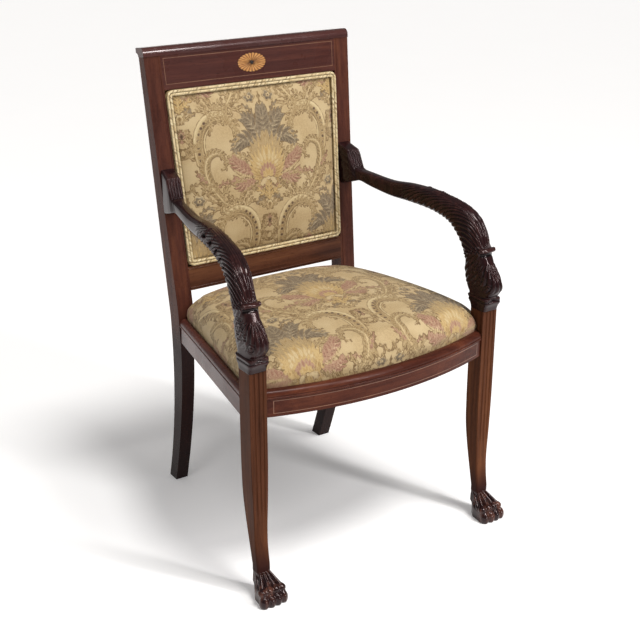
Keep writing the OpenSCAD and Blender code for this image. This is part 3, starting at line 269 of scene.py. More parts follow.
# Half a repeat. A tuple is one leaf: its colour, width, lobes on a side, and the x and y of its spine.
ARCH = [(147, 34), (150, 62), (146, 90), (132, 112), (112, 122), (92, 121), (77, 112), (69, 98)]
INNER = [(134, 40), (137, 66), (132, 88), (118, 104), (100, 110)]
CURL = [(104, -54), (120, -34), (134, -10), (140, 14), (136, 36), (122, 48), (104, 46), (94, 32)]
MOTIF = [
    ("olive", 9, 4, 104, 128, 96, 144, 84, 156), ("olive", 9, 4, 108, 128, 112, 146, 124, 158),
    ("olive", 9, 4, 116, 126, 132, 138, 146, 138), ("olive", 8, 4, 96, 128, 78, 140, 64, 140),
    [leaf("olive", ARCH, 11.5, 0.9), leaf("cream", ARCH, 9.0, 0.9),
     leaf("olive", ARCH[:7], 7.0, 0.9), leaf("cream", INNER, 1.8, 1)],
    row_of("dark", ARCH[:7], 13, 3.4, 3.2),
    row_of("cream", [(130, 130), (108, 137), (86, 132), (66, 120)], 11, 2.0, 2.0),
    ("olive", 13, 6, 92, 122, 76, 112, 66, 96, 68, 76),
    ("olive", 9, 6, 120, 119, 104, 124, 88, 118, 78, 106),
    acanthus("olive", 15, 12, *np.ravel(CURL), spread=60),
    [leaf("cream", CURL[:7], 1.5, 0.8)],
    ("olive", 7, 3, 106, 40, 96, 30, 98, 16, 108, 14), ("olive", 9, 4, 120, -28, 140, -22, 154, -4),
    ("rust", 7, 3, 138, -8, 152, 4, 160, 20), ("olive", 9, 4, 112, -40, 98, -26, 92, -4),
    ("olive", 9, 4, 104, -54, 88, -62, 70, -58), ("olive", 9, 4, 104, -54, 120, -66, 142, -60),
    ("olive", 8, 4, 104, -54, 100, -72, 90, -88), ("cream", 9, 6, 30, 20, 56, 36, 78, 38, 96, 28),
    ("olive", 7, 5, 36, 8, 58, 20, 82, 22), ("grey", 21, 7, 16, 60, 36, 68, 56, 64, 78, 46),
    ("grey", 20, 7, 8, 68, 20, 88, 34, 106, 48, 114), ("grey", 20, 6, 0, 72, 0, 104, 0, 136),
    ("olive", 11, 6, 40, 28, 62, 36, 84, 34, 98, 22),
    ("rust", 18, 7, 36, -4, 54, 8, 70, 20, 84, 38),
    ("rust", 18, 7, 34, -18, 50, -22, 66, -20, 84, -6), ("cream", 5, 8, 38, -10, 58, -4, 80, 12),
    petals("olive", 12, (32, 42, 52, 62, 72, 82, 90), 74, 6.0, 14, 10),
    petals("gold", -8, (-14, -2, 10, 22, 34, 46, 58, 70, 82), 76, 5.6, 8, 24),
    petals("olive", 14, (34, 46, 58, 70, 82), 56, 4.0, 12, 16),
    petals("gold", 0, (6, 20, 34, 48, 62, 76, 90), 58, 5.0, 8, 20),
    petals("cream", 2, (14, 30, 46, 62, 78), 46, 3.2, 10, 14),
    petals("gold", -6, (0, 18, 36, 54, 72, 90), 38, 4.4, 6, 10),
    petals("rust", -12, (8, 26, 42, 58, 74, 90), 31, 4.6, 12, 0),
    petals("gold", -14, (20, 48, 76), 22, 4.0, 4, 0),
    ("gold", 10, 5, 4, -52, 16, -44, 26, -30, 20, -18), ("gold", 12, 5, 0, -60, 0, -40, 0, -20),
    ("rust", 5, 3, 8, -30, 18, -34, 28, -28), ("olive", 6, 6, 24, -22, 40, -38, 60, -56),
    ("olive", 5, 5, 30, -24, 50, -32, 70, -44), ("olive", 7, 4, 2, -82, 16, -70, 34, -62),
    ("olive", 6, 4, 2, -82, 10, -66, 22, -50),
    [disc("cream", 0, -71, 7.5, 9.5, 6, 0.15), disc("olive", 0, -71, 5.5, 7.5, 6, 0.15)],
    ("olive", 6, 7, 2, -152, 16, -124, 15, -92), ("olive", 6, 7, 2, -152, 30, -128, 40, -100),
    ("rust", 8, 4, 0, -120, 0, -92),
    [disc("dark", 0, -106, 4.0, 7, 5, 0.2)],
    ("grey", 6, 5, 18, 112, 28, 130, 44, 136, 56, 126),
    ("olive", 6, 4, 66, 142, 50, 148, 42, 160, 50, 172),
    [disc("cream", 23, 152, 14.5, 13, 6, 0.22), disc("grey", 23, 152, 12.5, 11, 6, 0.26),
     disc("cream", 23, 152, 4.6, 4.0, 5, 0.2), disc("dark", 23, 152, 2.2, 2.0)],
    ("olive", 5, 3, 0, 138, 0, 162), ("olive", 7, 4, 30, 166, 44, 180, 64, 184),
    ("olive", 6, 4, 2, 170, 14, 184, 30, 190), ("olive", 8, 4, 62, -66, 80, -84, 100, -92),
    ("olive", 8, 4, 56, -62, 62, -88, 56, -112), ("olive", 7, 4, 150, -40, 166, -26, 172, -6),
    ("olive", 8, 4, 158, 66, 170, 84, 172, 104), ("olive", 7, 3, 160, 40, 172, 50, 178, 66),
    ("grey", 7, 4, 150, 128, 162, 140, 176, 140), ("olive", 6, 3, 60, 74, 70, 66, 82, 70),
    ("rust", 7, 4, 66, 176, 80, 184, 96, 180), ("olive", 7, 4, 98, 176, 112, 184, 130, 180)]


def motif():
    return [shape for part in MOTIF for shape in (acanthus(*part) if isinstance(part, tuple) else part)]


def shape_field(shape, x, y):
    """Signed distance (negative inside), the phase of the vein lines, and how far each point faces the light."""
    if "disc" in shape:
        cx, cy, rx, ry = shape["disc"]
        dx, dy = (x - cx) / rx, (y - cy) / ry
        r = np.hypot(dx, dy)
        edge = 1 - shape["depth"] * (0.5 - 0.5 * np.cos(np.arctan2(dy, dx) * shape["petals"]))
        return (r - edge) * min(rx, ry), r * 4, np.minimum(r, 1) * (0.35 * dx + 0.9 * dy) / np.maximum(r, 0.1)
    path = smooth_path(shape["pts"], 14)
    along = lengths(path)
    best = np.full(x.shape, 1e9)
    arc, lean = np.zeros((2, x.size))
    for (px, py), (sx, sy), length, start in zip(path, np.diff(path, axis=0), np.diff(along), along):
        t = clamp01(((x - px) * sx + (y - py) * sy) / length ** 2)
        dx, dy = x - px - t * sx, y - py - t * sy
        d = dx * dx + dy * dy
        near = d < best
        best = np.where(near, d, best)
        arc = np.where(near, start + t * length, arc)
        lean = np.where(near, 0.4 * dx + 0.92 * dy, lean)
    d = np.sqrt(best)
    f = arc / along[-1]
    if shape["point"]:
        taper = 1 - np.maximum(0, (f - 0.4) / 0.6) ** 1.5
    else:
        taper = np.sqrt(np.maximum(0, 1 - np.maximum(0, (f - 0.5) / 0.5) ** 2.2))
    base, width = shape["base"], shape["width"]
    profile = (base + (1 - base) * np.minimum(1, f / 0.4)) * taper
    return d - width * profile, arc * 0.55 - d * 0.8, np.clip(lean / (0.6 * width), -1, 1)


def cloth_fields(X, Y):
    """Fields over cloth coordinates in millimetres: a signed distance for each colour, and what shades them."""
    n = X.size
    edge = np.full(n, 30.0)
    hull = np.full(n, -8.0)
    kind = np.full(n, -1)
    vein, lit = np.zeros((2, n))
    shapes = motif()
    pad = 6.0
    for half in (0, 0.5):
        x = np.abs((X - REPEAT_W * half + REPEAT_W / 2) % REPEAT_W - REPEAT_W / 2)
        y = (Y - REPEAT_H * half + REPEAT_H / 2) % REPEAT_H - REPEAT_H / 2
        for shape in shapes:
            x0, y0, x1, y1 = shape["box"]
            pick = np.nonzero((x > x0 - pad) & (x < x1 + pad) & (y > y0 - pad) & (y < y1 + pad))[0]
            if not len(pick):
                continue
            d, phase, lean = shape_field(shape, x[pick], y[pick])
            inside = d < 0
            hull[pick] = np.maximum(hull[pick], -d)
            edge[pick] = np.where(inside, -d, np.minimum(edge[pick], d))
            kind[pick] = np.where(inside, CLASSES.index(shape["kind"]), kind[pick])
            vein[pick] = np.where(inside, phase * shape["veins"], vein[pick])
            lit[pick] = np.where(inside, lean, lit[pick])
    edge = np.minimum(edge, 8.0)
    fields = {"f_" + c: np.where(kind == i, edge, -edge) for i, c in enumerate(CLASSES)}
    return {**fields, "hull": np.minimum(hull, 8.0), "vein": vein, "edge": edge, "lit": lit}


def brocade():
    sh = Shader("brocade")
    u, v = sh.attr("cloth_x"), sh.attr("cloth_y")
    vec = sh.node("CombineXYZ", X=u, Y=v)
    wobble = sh.noise(vec, scale=700.0, detail=2)
    shade = sh.noise(vec, scale=14.0, detail=3)
    mottle = sh.noise(vec, scale=260.0, detail=3)
    soft = sh.scaled(wobble, 1.8, -0.9)
    col = sh.mix(sh.ramp(mottle, 0.35, 0.65), srgb(178, 154, 111), srgb(190, 166, 124))
    col = sh.mix(sh.ramp(shade, 0.35, 0.7), col, srgb(199, 177, 136))
    lit = sh.math("ADD", sh.attr("lit"), sh.times(soft, 0.25))
    up, down = sh.ramp(lit, 0.25, 0.85), sh.ramp(lit, -0.15, -0.8)
    vein = sh.math("SINE", sh.times(sh.attr("vein"), 2.2))
    down = sh.math("MAXIMUM", down, sh.ramp(vein, 0.45, 0.95, 0, 0.8))
    tints = {"olive": ((104, 80, 46), (160, 134, 92), (206, 186, 142)),
             "grey": ((74, 61, 49), (120, 105, 84), (182, 166, 134)),
             "rust": ((112, 70, 56), (158, 118, 96), (202, 174, 140)),
             "gold": ((138, 103, 54), (182, 151, 98), (214, 193, 142)),
             "dark": ((66, 48, 38), (96, 74, 58), (136, 110, 84)),
             "cream": ((156, 129, 86), (194, 171, 127), (220, 202, 160))}
    for cls, tones in tints.items():
        low, middle, high = (srgb(*c) for c in tones)
        fill = sh.mix(sh.times(down, 0.85), sh.mix(sh.times(up, 0.8), middle, high), low)
        rim = sh.math("ABSOLUTE", sh.math("SUBTRACT", sh.attr("f_" + cls), 1.1))
        fill = sh.mix(sh.ramp(rim, 0.8, 0.2, 0, 0.35), fill, high)
        col = sh.mix(sh.ramp(sh.math("ADD", sh.attr("f_" + cls), soft), -0.25, 0.45), col, fill)
    broken = sh.ramp(sh.noise(vec, scale=90.0, detail=1), 0.35, 0.55, 0.15, 1.0)
    hull = sh.math("ADD", sh.attr("hull"), sh.times(soft, 0.5))
    outer = sh.times(sh.ramp(sh.math("ABSOLUTE", hull), 1.0, 0.35), sh.times(broken, 0.8))
    col = sh.mix(outer, col, srgb(104, 78, 46))
    weave = sh.times(sh.wave(vec, "X", 420.0, 1.2, 3.0), sh.wave(vec, "Y", 560.0, 1.5, 3.0))
    col = sh.mix(sh.times(sh.ramp(weave, 0.45, 0.05), 0.2), col, srgb(110, 86, 56))
    height = sh.scaled(weave, 0.4, sh.times(sh.ramp(sh.attr("edge"), 0.0, 1.6), 0.6))
    return sh.set(Base_Color=col, Roughness=sh.ramp(mottle, 0.3, 0.7, 0.55, 0.75),
                  Normal=sh.bump(height, 0.0004, 0.7), Sheen_Weight=0.15, Sheen_Roughness=0.4,
                  Specular_IOR_Level=0.25)


def plain_cloth(name, a, b, scale):
    sh = Shader(name)
    vec = sh.coords()
    n = sh.noise(vec, scale=60.0, detail=4)
    weave = sh.times(sh.wave(vec, "X", scale, 1.0), sh.wave(vec, "Y", scale, 1.0))
    col = sh.mix(sh.ramp(n, 0.35, 0.65), srgb(*a), srgb(*b))
    col = sh.mix(sh.times(sh.ramp(weave, 0.5, 0.0), 0.4), col, srgb(30, 24, 18))
    return sh.set(Base_Color=col, Roughness=0.85, Normal=sh.bump(weave, 0.0003, 0.6), Sheen_Weight=0.2,
                  Sheen_Roughness=0.5)


def inlay(name, a, b):
    sh = Shader(name)
    n = sh.noise(sh.coords((30, 30, 400)), detail=4)
    return sh.set(Base_Color=sh.mix(sh.ramp(n, 0.35, 0.65), srgb(*a), srgb(*b)), Roughness=0.3, Coat_Weight=0.3,
                  Coat_Roughness=0.15, Specular_IOR_Level=0.4)


def rayed_veneer():
    """Satinwood wedges, each shaded in hot sand along one side."""
    sh = Shader("satinwood")
    centre_z, wide_to_high, wedges = 0.9175, 1.75, 24
    x, _, z = (sh.node("SeparateXYZ", out=k, Vector=sh.coords()) for k in range(3))
    turn = sh.math("ARCTAN2", sh.times(sh.math("SUBTRACT", z, centre_z), wide_to_high), x)
    wedge = sh.math("FRACT", sh.scaled(turn, wedges / 2 / pi, wedges))
    n = sh.noise(sh.coords((200, 30, 200)), detail=3)
    col = sh.mix(sh.ramp(n, 0.35, 0.65), srgb(206, 152, 90), srgb(186, 130, 70))
    col = sh.mix(sh.ramp(wedge, 0.4, 0.9, 0, 0.85), col, srgb(104, 58, 34))
    return sh.set(Base_Color=col, Roughness=0.32, Coat_Weight=0.2, Coat_Roughness=0.15, Specular_IOR_Level=0.3)


def steel():
    sh = Shader("screw_steel")
    n = sh.noise(sh.coords((300, 300, 300)), detail=4)
    return sh.set(Base_Color=srgb(176, 176, 172), Metallic=1.0, Roughness=sh.ramp(n, 0.3, 0.7, 0.28, 0.45))


# Mesh helpers

def add_object(name, data):
    ob = bpy.data.objects.new(name, data)
    scene.collection.objects.link(ob)
    return ob


def make(name, verts, faces, smooth=True):
    me = bpy.data.meshes.new(name)
    me.from_pydata([tuple(v) for v in verts], [], [tuple(int(i) for i in f) for f in faces])
    me.validate()
    me.update()
    if smooth:
        me.polygons.foreach_set("use_smooth", [True] * len(me.polygons))
    return add_object(name, me)


def face_outwards(ob):
    bm = bmesh.new()
    bm.from_mesh(ob.data)
    bmesh.ops.recalc_face_normals(bm, faces=bm.faces)
    bm.to_mesh(ob.data)
    bm.free()


def floats(ob, name, values):
    at = ob.data.attributes.new(name, "FLOAT", "POINT")
    at.data.foreach_set("value", np.asarray(values, np.float32))


def dress(ob, mat, node):
    ob.data.materials.clear()
    ob.data.materials.append(mat)
    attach(ob, "root")
    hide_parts(node)


def add_cloth(ob, X, Y):
    """The pattern's fields for cloth coordinates in millimetres, and metre coordinates for the weave."""
    for name, values in cloth_fields(X, Y).items():
        floats(ob, name, values)
    floats(ob, "cloth_x", X * MM)
    floats(ob, "cloth_y", Y * MM)


def tube_grid(rings, close_ends=True):
    m, n = rings.shape[:2]
    turn = [(j, (j + 1) % n) for j in range(n)]
    faces = [(a + j, a + k, a + n + k, a + n + j) for a in range(0, (m - 1) * n, n) for j, k in turn]
    verts = rings.reshape(-1, 3)
    if close_ends:
        last = (m - 1) * n
        verts = np.vstack([verts, rings[0].mean(0), rings[-1].mean(0)])
        faces += [(k, j, m * n) for j, k in turn]
        faces += [(last + j, last + k, m * n + 1) for j, k in turn]
    return verts, faces


def smooth01(x):
    x = clamp01(x)
    return x * x * (3 - 2 * x)


def bell(x, width):
    return np.exp(-((x / width) ** 2))


def window(x, a, b, soft):
    """1 between a and b, falling to 0 over soft outside them."""
    return smooth01((x - a) / soft + 1) * smooth01((b - x) / soft + 1)


# Arms: stations as in the construction, with a plainer slope on the root block and a collar that narrows
# downwards. A row holds y and z on top, y and z below, the half width and the squareness.

RUN = BACK_Y + RAKE_SLOPE * (ARM_H - RAKE_Z0) - FRONT_Y
ROOT_X = post_out(ARM_H) - 17
COLLAR_X = 270.5


def rise(f):
    """A height by its share of the way from the front leg's top to the arm's top."""
    return LEG_TOP + (ARM_H - LEG_TOP) * f


def face_at(z):
    return BACK_Y + RAKE_SLOPE * (z - RAKE_Z0) - FRONT_Y


ARM = np.array([
    [face_at(ARM_H + 52), ARM_H + 52, face_at(ARM_H - 37), ARM_H - 37, 15, 9],
    [RUN - 25, ARM_H + 41, RUN - 29, ARM_H - 30, 15, 8],
    [RUN - 33, ARM_H + 24, RUN - 43, ARM_H - 25, 14.5, 7],
    [RUN - 43, ARM_H + 4, RUN - 57, ARM_H - 21, 14, 5],
    [RUN * 0.79, ARM_H - 1, RUN * 0.775, ARM_H - 30, 13.5, 3],
    [RUN * 0.66, ARM_H - 4, RUN * 0.645, ARM_H - 37, 14, 2.7],
    [RUN * 0.53, ARM_H + 0.5, RUN * 0.515, ARM_H - 38, 15.9, 2.6],
    [RUN * 0.405, ARM_H, RUN * 0.39, ARM_H - 41, 18, 2.6],
    [RUN * 0.285, ARM_H - 7, RUN * 0.305, ARM_H - 48, 19.5, 2.6],
    [80, ARM_H - 18, 107, ARM_H - 58, 20.5, 2.8],
    [49, ARM_H - 38, 90, rise(0.65), 20.5, 2.8],
    [31, rise(0.70), 79, rise(0.58), 20, 2.8],
    [22, rise(0.60), 72, rise(0.515), 19.5, 2.8],
    [12, rise(0.56), 70, rise(0.49), 19.5, 3],
    [13, rise(0.515), 68, rise(0.46), 19, 3],
    [5, rise(0.44), 66, rise(0.41), 18, 3],
    [-6, rise(0.38), 68, rise(0.37), 19, 3],
    [-16, 530, 66, 529, 19.5, 3],
    [-21, 515, 63, 515, 19.5, 3.2],
    [-15, 501, 57, 501, 18.5, 3.4],
    [-6, 491, 50, 491, 18.5, 4],
    [-8, 486, 47, 486, 21, 8],
    [-9.5, 481, 46.5, 481, 21.8, 8],
    [-4.5, 471, 42, 471, 19.4, 8],
    [-1.5, 462, 39.5, 462, 18.6, 9]])
LAST = len(ARM) - 1


def arm_rows(u):
    i = np.minimum(LAST - 1, np.floor(u)).astype(int)
    t = (u - i)[:, None]
    a, b, c, d = (ARM[np.clip(i + k, 0, LAST)] for k in (-1, 0, 1, 2))
    curve = spline(a, b, c, d, t)
    crisp = smooth01((3.3 - u) / 0.3)[:, None]
    rows = curve + (b + (c - b) * t - curve) * crisp
    block = np.interp(u, [0, 1, 2, 3, 3.3], [16.5, 16.5, 16, 13.4, 12.2])
    rows[:, 4] = np.where(u < 3.3, block, rows[:, 4] - 1.4 * smooth01((4.6 - u) / 1.3))
    return rows


def arm_surface(step, around):
    """Rings (m, n, 3) for the +X arm, with u and the turn v from -0.5 to 0.5 round the top middle."""
    uf = np.linspace(0, LAST, 200 * LAST + 1)
    rows = arm_rows(uf)
    top = lengths(rows[:, :2])
    ln = top * 0.7 + lengths(rows[:, 2:4]) * 0.3
    u = np.interp(np.linspace(0, ln[-1], int(ln[-1] / step)), ln, uf)
    rings = []
    per = []
    ang = 2 * np.pi * np.arange(1440) / 1440
    for row in arm_rows(u):
        e = 2 / row[5]
        across = np.sign(np.sin(ang)) * np.abs(np.sin(ang)) ** e
        up = np.sign(np.cos(ang)) * np.abs(np.cos(ang)) ** e
        y = (row[0] + row[2]) / 2 + (row[0] - row[2]) / 2 * up
        x = COLLAR_X + (ROOT_X - COLLAR_X) * clamp01((y - LEG_D) / (RUN - LEG_D))
        p = np.stack([x + across * row[4], FRONT_Y + y, (row[1] + row[3]) / 2 + (row[1] - row[3]) / 2 * up], -1)
        q = np.vstack([p, p[:1]])
        arc = lengths(q)
        t = (np.arange(around) / around + 0.5) % 1 * arc[-1]
        rings.append(np.stack([np.interp(t, arc, q[:, k]) for k in range(3)], -1))
        per.append(arc[-1])
    return np.array(rings), u, np.interp(u, uf, top), np.arange(around) / around - 0.5, np.array(per)


def ridge(t, sharp=0.75):
    """Rounded ridges with narrow grooves between them, one per unit of t, from 0 to 1."""
    return np.abs(np.sin(np.pi * t)) ** sharp


def swell(t):
    """A rounded hump from its square distance t, 1 in its middle and 0 from 1 on."""
    return clamp01(1 - t) ** 0.5


def carve_arm(u, length, v, per):
    U, V = np.meshgrid(u, v * 64, indexing="ij")
    L = np.broadcast_to(length[:, None], U.shape)
    Q = np.broadcast_to(per[:, None], U.shape) * V / 64
    A = np.abs(V)
    AQ = np.abs(Q)
    h = np.zeros(U.shape)

    def at(x):
        return float(np.interp(x, u, length))

    def girth(x):
        return float(np.interp(x, u, per)) / 64

    # root block: reeds down its front, rays over its sides
    h += 2.0 * (ridge(Q / 6.2 + 0.5) - 0.7) * window(U, 1.15, 3.05, 0.08) * window(A, -1, 6.6, 0.8)
    dl, dq = at(3.2) - L, AQ - 30.0
    rays = 1.5 * (ridge(np.arctan2(dq, dl) * 4.2, 0.6) - 0.85) * smooth01(np.hypot(dq, dl) / 14)
    h += rays * window(U, 0.15, 3.0, 0.2) * window(A, 8.5, 27, 1.0) * (Q < 0)
    # leaf: strokes rise from the margin below and run along the top to the roll
    lane = np.maximum(AQ - 1.0, 4.0)
    flow = L + 52.0 * np.log(lane / 30.0)
    body = window(U, 6.0, 13.2, 0.5) * window(A, 0, 25, 2.5)
    start = smooth01((L - at(5.0) - 0.9 * np.maximum(0, AQ - 12)) / 30.0)
    side = smooth01((AQ - 9.0) / 5.0)
    stroke = ridge(flow / 17.5, 0.7) * 3.3 - 2.3 + 0.7 * (ridge(flow / 5.83, 0.7) - 0.7)
    h += body * start * side * stroke
    # ribs that run together towards the roll, and reeds along the top behind them
    tip_at = at(12.9) + 26.0
    rib = ridge(np.arctan2(Q, tip_at - L) * 7.4 + 0.5) * 2.2 - 1.5
    h += rib * window(U, 9.6, 12.2, 0.7) * window(AQ, -1, 14.0, 3.5)
    reeds = ridge(Q / 4.8 + 0.5) - 0.65
    h += 2.0 * reeds * window(AQ, -1, 8.0, 2.0) * smooth01((U - 6.4) / 1.4) * smooth01((9.9 - U) / 0.7)
    # eyes between the leaf's lobes, on the outer side
    for eu, ev, size in ((6.6, 13.2, 1.35), (7.25, 14.6, 1.35), (7.9, 15.8, 1.25), (8.5, 17.0, 1.0), (9.1, 17.6, 0.8),
                         (9.7, 18.2, 0.6)):
        along, off = turned((L - at(eu), Q - ev * girth(eu)), radians(34))
        off = off + 0.03 * along * along
        reach = np.hypot(along / (8.5 * size), off / (3.0 * size))
        h += size * (1.2 * bell(reach - 1.5, 0.3) - 6.5 * smooth01((1.15 - reach) / 0.5))
    # lower side: scalloped strokes behind the roll and the hollow
    low = window(U, 12.2, 18.2, 0.6) * window(A, 10.5, 27, 1.6)
    h += low * (2.2 * ridge((L * 0.9 - AQ * 0.75) / 11.0) - 1.4)
    # roll at the leaf's tip, with the hollow under it
    roll = at(12.75)
    h += window(A, -1, 7.5, 1.2) * (3.2 * swell(((L - roll) / 5.2) ** 2) - 3.0 * bell(L - roll - 9.5, 4.0))
    h += 2.2 * swell(((L - roll) / 5.0) ** 2 + ((AQ - 16.5) / 4.0) ** 2)
    # shell on the belly: ribs spread from the hollow, with curls at its sides
    spray = np.arctan2(Q, L - at(14.4) + 4.0)
    h += 3.0 * (ridge(spray * 5.6 + 0.5) - 0.7) * window(U, 15.2, 18.5, 0.4) * window(A, -1, 11.5, 1.2)
    bend = L - at(16.2) - 7.0 * np.sin((AQ - 14.0) / 6.0)
    h += 1.8 * (ridge(bend / 8.5) - 0.65) * window(U, 14.6, 17.6, 0.4) * window(A, 11.5, 20, 1.5)
    rc = np.hypot(L - at(18.2), AQ - 24.0)
    h += 2.6 * (ridge(rc / 5.2) - 0.6) * smooth01((13.0 - rc) / 2.5) * window(U, 16.4, 20.0, 0.3)
    # collar: a raised lip that points upwards in its middle
    lip_at = at(20.5) - 4.5 * bell(Q, 8.0) + 0.5 * np.minimum(AQ, 18) / 18
    h += 1.9 * bell(L - lip_at, 2.2) * window(A, -1, 26, 2)
    h -= 1.8 * bell(L - lip_at - 6.0, 2.6) * window(A, -1, 30, 2)
    return h


def grid_normals(rings):
    du = np.gradient(rings, axis=0)
    dv = (np.roll(rings, -1, axis=1) - np.roll(rings, 1, axis=1)) / 2
    n = np.cross(dv, du)
    n /= np.maximum(np.linalg.norm(n, axis=2, keepdims=True), 1e-9)
    outwards = (n * (rings - rings.mean(axis=1, keepdims=True))).sum() >= 0
    return n if outwards else -n


def build_arms(mat):
    rings, u, length, v, per = arm_surface(*(((1.05, 144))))
    h = carve_arm(u, length, v, per)
    h *= (smooth01((u - 0.02) / 0.15) * smooth01((LAST - u) / 0.25))[:, None]
    rings = rings + grid_normals(rings) * h[..., None]
    for side, node in ((1, "arm_right"), (-1, "arm_left")):
        verts, faces = tube_grid(rings * [side, 1, 1] * MM)
        if side > 0:
            faces = [tuple(reversed(f)) for f in faces]
        ob = make(node.replace("arm", "carved_arm"), verts, faces)
        floats(ob, "relief", np.concatenate([h.ravel(), [0, 0]]))
        dress(ob, mat, node)


# Implicit shapes turned into a smooth surface mesh

def surface_net(field, lo, step):
    """Quads round the zero level of a field sampled on a grid."""
    size = [n - 1 for n in field.shape]
    total = np.zeros((*size, 3))
    count = np.zeros(size)
    for a in np.ndindex(2, 2, 2):
        for ax in (k for k in range(3) if not a[k]):
            b = tuple(c + (k == ax) for k, c in enumerate(a))
            fa, fb = (field[tuple(slice(c, c + n) for c, n in zip(q, size))] for q in (a, b))
            cross = (fa < 0) != (fb < 0)
            t = np.where(cross, fa / np.where(cross, fa - fb, 1), 0)
            for k in range(3):
                total[..., k] += np.where(cross, a[k] + t * (k == ax), 0)
            count += cross
    used = count > 0
    index = np.full(used.shape, -1)
    index[used] = np.arange(used.sum())
    verts = (np.argwhere(used) + total[used] / count[used][:, None]) * step + lo
    faces = []
    for ax in range(3):
        others = [k for k in range(3) if k != ax]
        here, there = [slice(1, -1)] * 3, [slice(1, -1)] * 3
        here[ax], there[ax] = slice(0, -1), slice(1, None)
        fa, fb = field[tuple(here)] < 0, field[tuple(there)] < 0
        flip = fa[fa != fb] ^ (ax == 1)
        base = np.argwhere(fa != fb)
        base[:, others] += 1
        quad = []
        for back in ((0, 0), (1, 0), (1, 1), (0, 1)):
            cell = base.copy()
            cell[:, others] -= back
            quad.append(index[tuple(cell.T)])
        quad = np.stack(quad, 1)
        quad[flip] = quad[flip][:, ::-1]
        faces.append(quad)
    return verts, np.vstack(faces)


def capsule(P, a, b, ra, rb):
    a, b = np.array(a, float), np.array(b, float)
    ab = b - a
    t = clamp01(((P - a) @ ab) / (ab @ ab))
    return np.linalg.norm(P - a - t[..., None] * ab, axis=-1) - (ra + (rb - ra) * t)


def ellipsoid(P, c, r):
    return (np.linalg.norm((P - np.array(c)) / np.array(r), axis=-1) - 1) * min(r)


def blend_min(a, b, k):
    h = clamp01(0.5 + 0.5 * (b - a) / k)
    return b + (a - b) * h - k * h * (1 - h)


def leg_box(z):
    """The leg's inside, outside, front and rear at height z; a little fuller outside than the construction."""
    ease = (1 - np.cos(np.pi * clamp01((300 - z) / 195))) / 2
    out_x = LEG_OUT - 3.84 * ease
    in_x = LEG_IN + 3.36 * ease
    front = FRONT_Y - 8 * clamp01((150 - z) / 85) ** 2
    rear = FRONT_Y + LEG_D - 23.5 * clamp01((220 - z) / 155) ** 1.6
    return in_x, out_x, front, rear


ANKLE, PAW_X = 52.0, 269.6


def paw_field(P):
    """A lion's paw in millimetres, its heel under the ankle and its toes towards -Y, for the +X leg."""
    z = P[..., 2]
    in_x, out_x, front, rear = leg_box(np.maximum(z, 60))
    cx, r, inset = PAW_X, 4.5, 0.3
    qx, qy = (np.abs(P[..., k] - (lo + hi) / 2) - ((hi - lo) / 2 - inset) + r
              for k, lo, hi in ((0, in_x, out_x), (1, front, rear)))
    post = np.hypot(np.maximum(qx, 0), np.maximum(qy, 0)) + np.minimum(np.maximum(qx, qy), 0) - r
    post = np.maximum(post, 30 - z)
    block = np.abs(P - np.array([cx, FRONT_Y - 17.0, 9.0]))
    ahead = FRONT_Y + 8 - P[..., 1]
    block[..., 0] -= 14.5 + 9.5 * smooth01(ahead / 20) + 3.0 * clamp01((ahead - 18) / 25)
    block -= np.array([0, 28.0, 19.0]) - 9
    block = np.linalg.norm(np.maximum(block, 0), axis=-1) + np.minimum(block.max(axis=-1), 0) - 9
    body = blend_min(block, capsule(P, (cx, FRONT_Y + 2, 44), (cx, FRONT_Y - 15, 20), 10.5, 20), 8)
    body = blend_min(post, body, 0.5 + 13 * smooth01((54 - z) / 18))
    for i in range(4):
        f = (i - 1.5) / 1.5
        tx = cx + 0.8 + f * 20.5
        reach = 51.0 - 2.0 * f * f
        knuckle = np.array([tx, FRONT_Y - reach + 15.0, 28.0 - 2.0 * f * f])
        toe = capsule(P, (cx + f * 9.5, FRONT_Y - 6.5, 50), knuckle, 2.8, 6.4)
        toe = blend_min(toe, ellipsoid(P, knuckle, (8.9, 9.0, 7.6)), 2.5)
        pad = ellipsoid(P, (tx * 1.003, FRONT_Y - reach + 7.5, 9.5), (9.6, 10.2, 14.0))
        tendon = capsule(P, (cx + f * 10.5, FRONT_Y - 9.3, 50.5), knuckle + (0, -1.0, 4.8), 1.3, 2.6)
        claw = capsule(P, (tx, FRONT_Y - reach - 0.8, 13.5), (tx, FRONT_Y - reach - 2.0, 4), 3.2, 1.4)
        for piece, soft in ((blend_min(toe, pad, 0.8), 1.2), (tendon, 1.6), (claw, 0.7)):
            body = blend_min(body, piece, soft)
    for i in range(3):
        f = (i - 1) * 0.667
        a = (cx + f * 9.5, FRONT_Y - 11, 48)
        b = (cx + f * 20.0, FRONT_Y - 41, 31)
        body = -blend_min(-body, capsule(P, a, b, 0.3, 1.4), 1.6)
        between = (cx + 0.8 + f * 20.5, FRONT_Y - 52 + 2 * f * f)
        body = -blend_min(-body, capsule(P, (*between, 25), (*between, 0), 1.3, 1.3), 1.4)
    for sx in (-1, 1):
        side = capsule(P, (cx + sx * 12, FRONT_Y + 4, 48), (cx + sx * 22, FRONT_Y - 22, 26), 2.2, 3.4)
        body = blend_min(body, side, 2.0)
    return np.maximum(np.maximum(body, -z), z - ANKLE - 1)


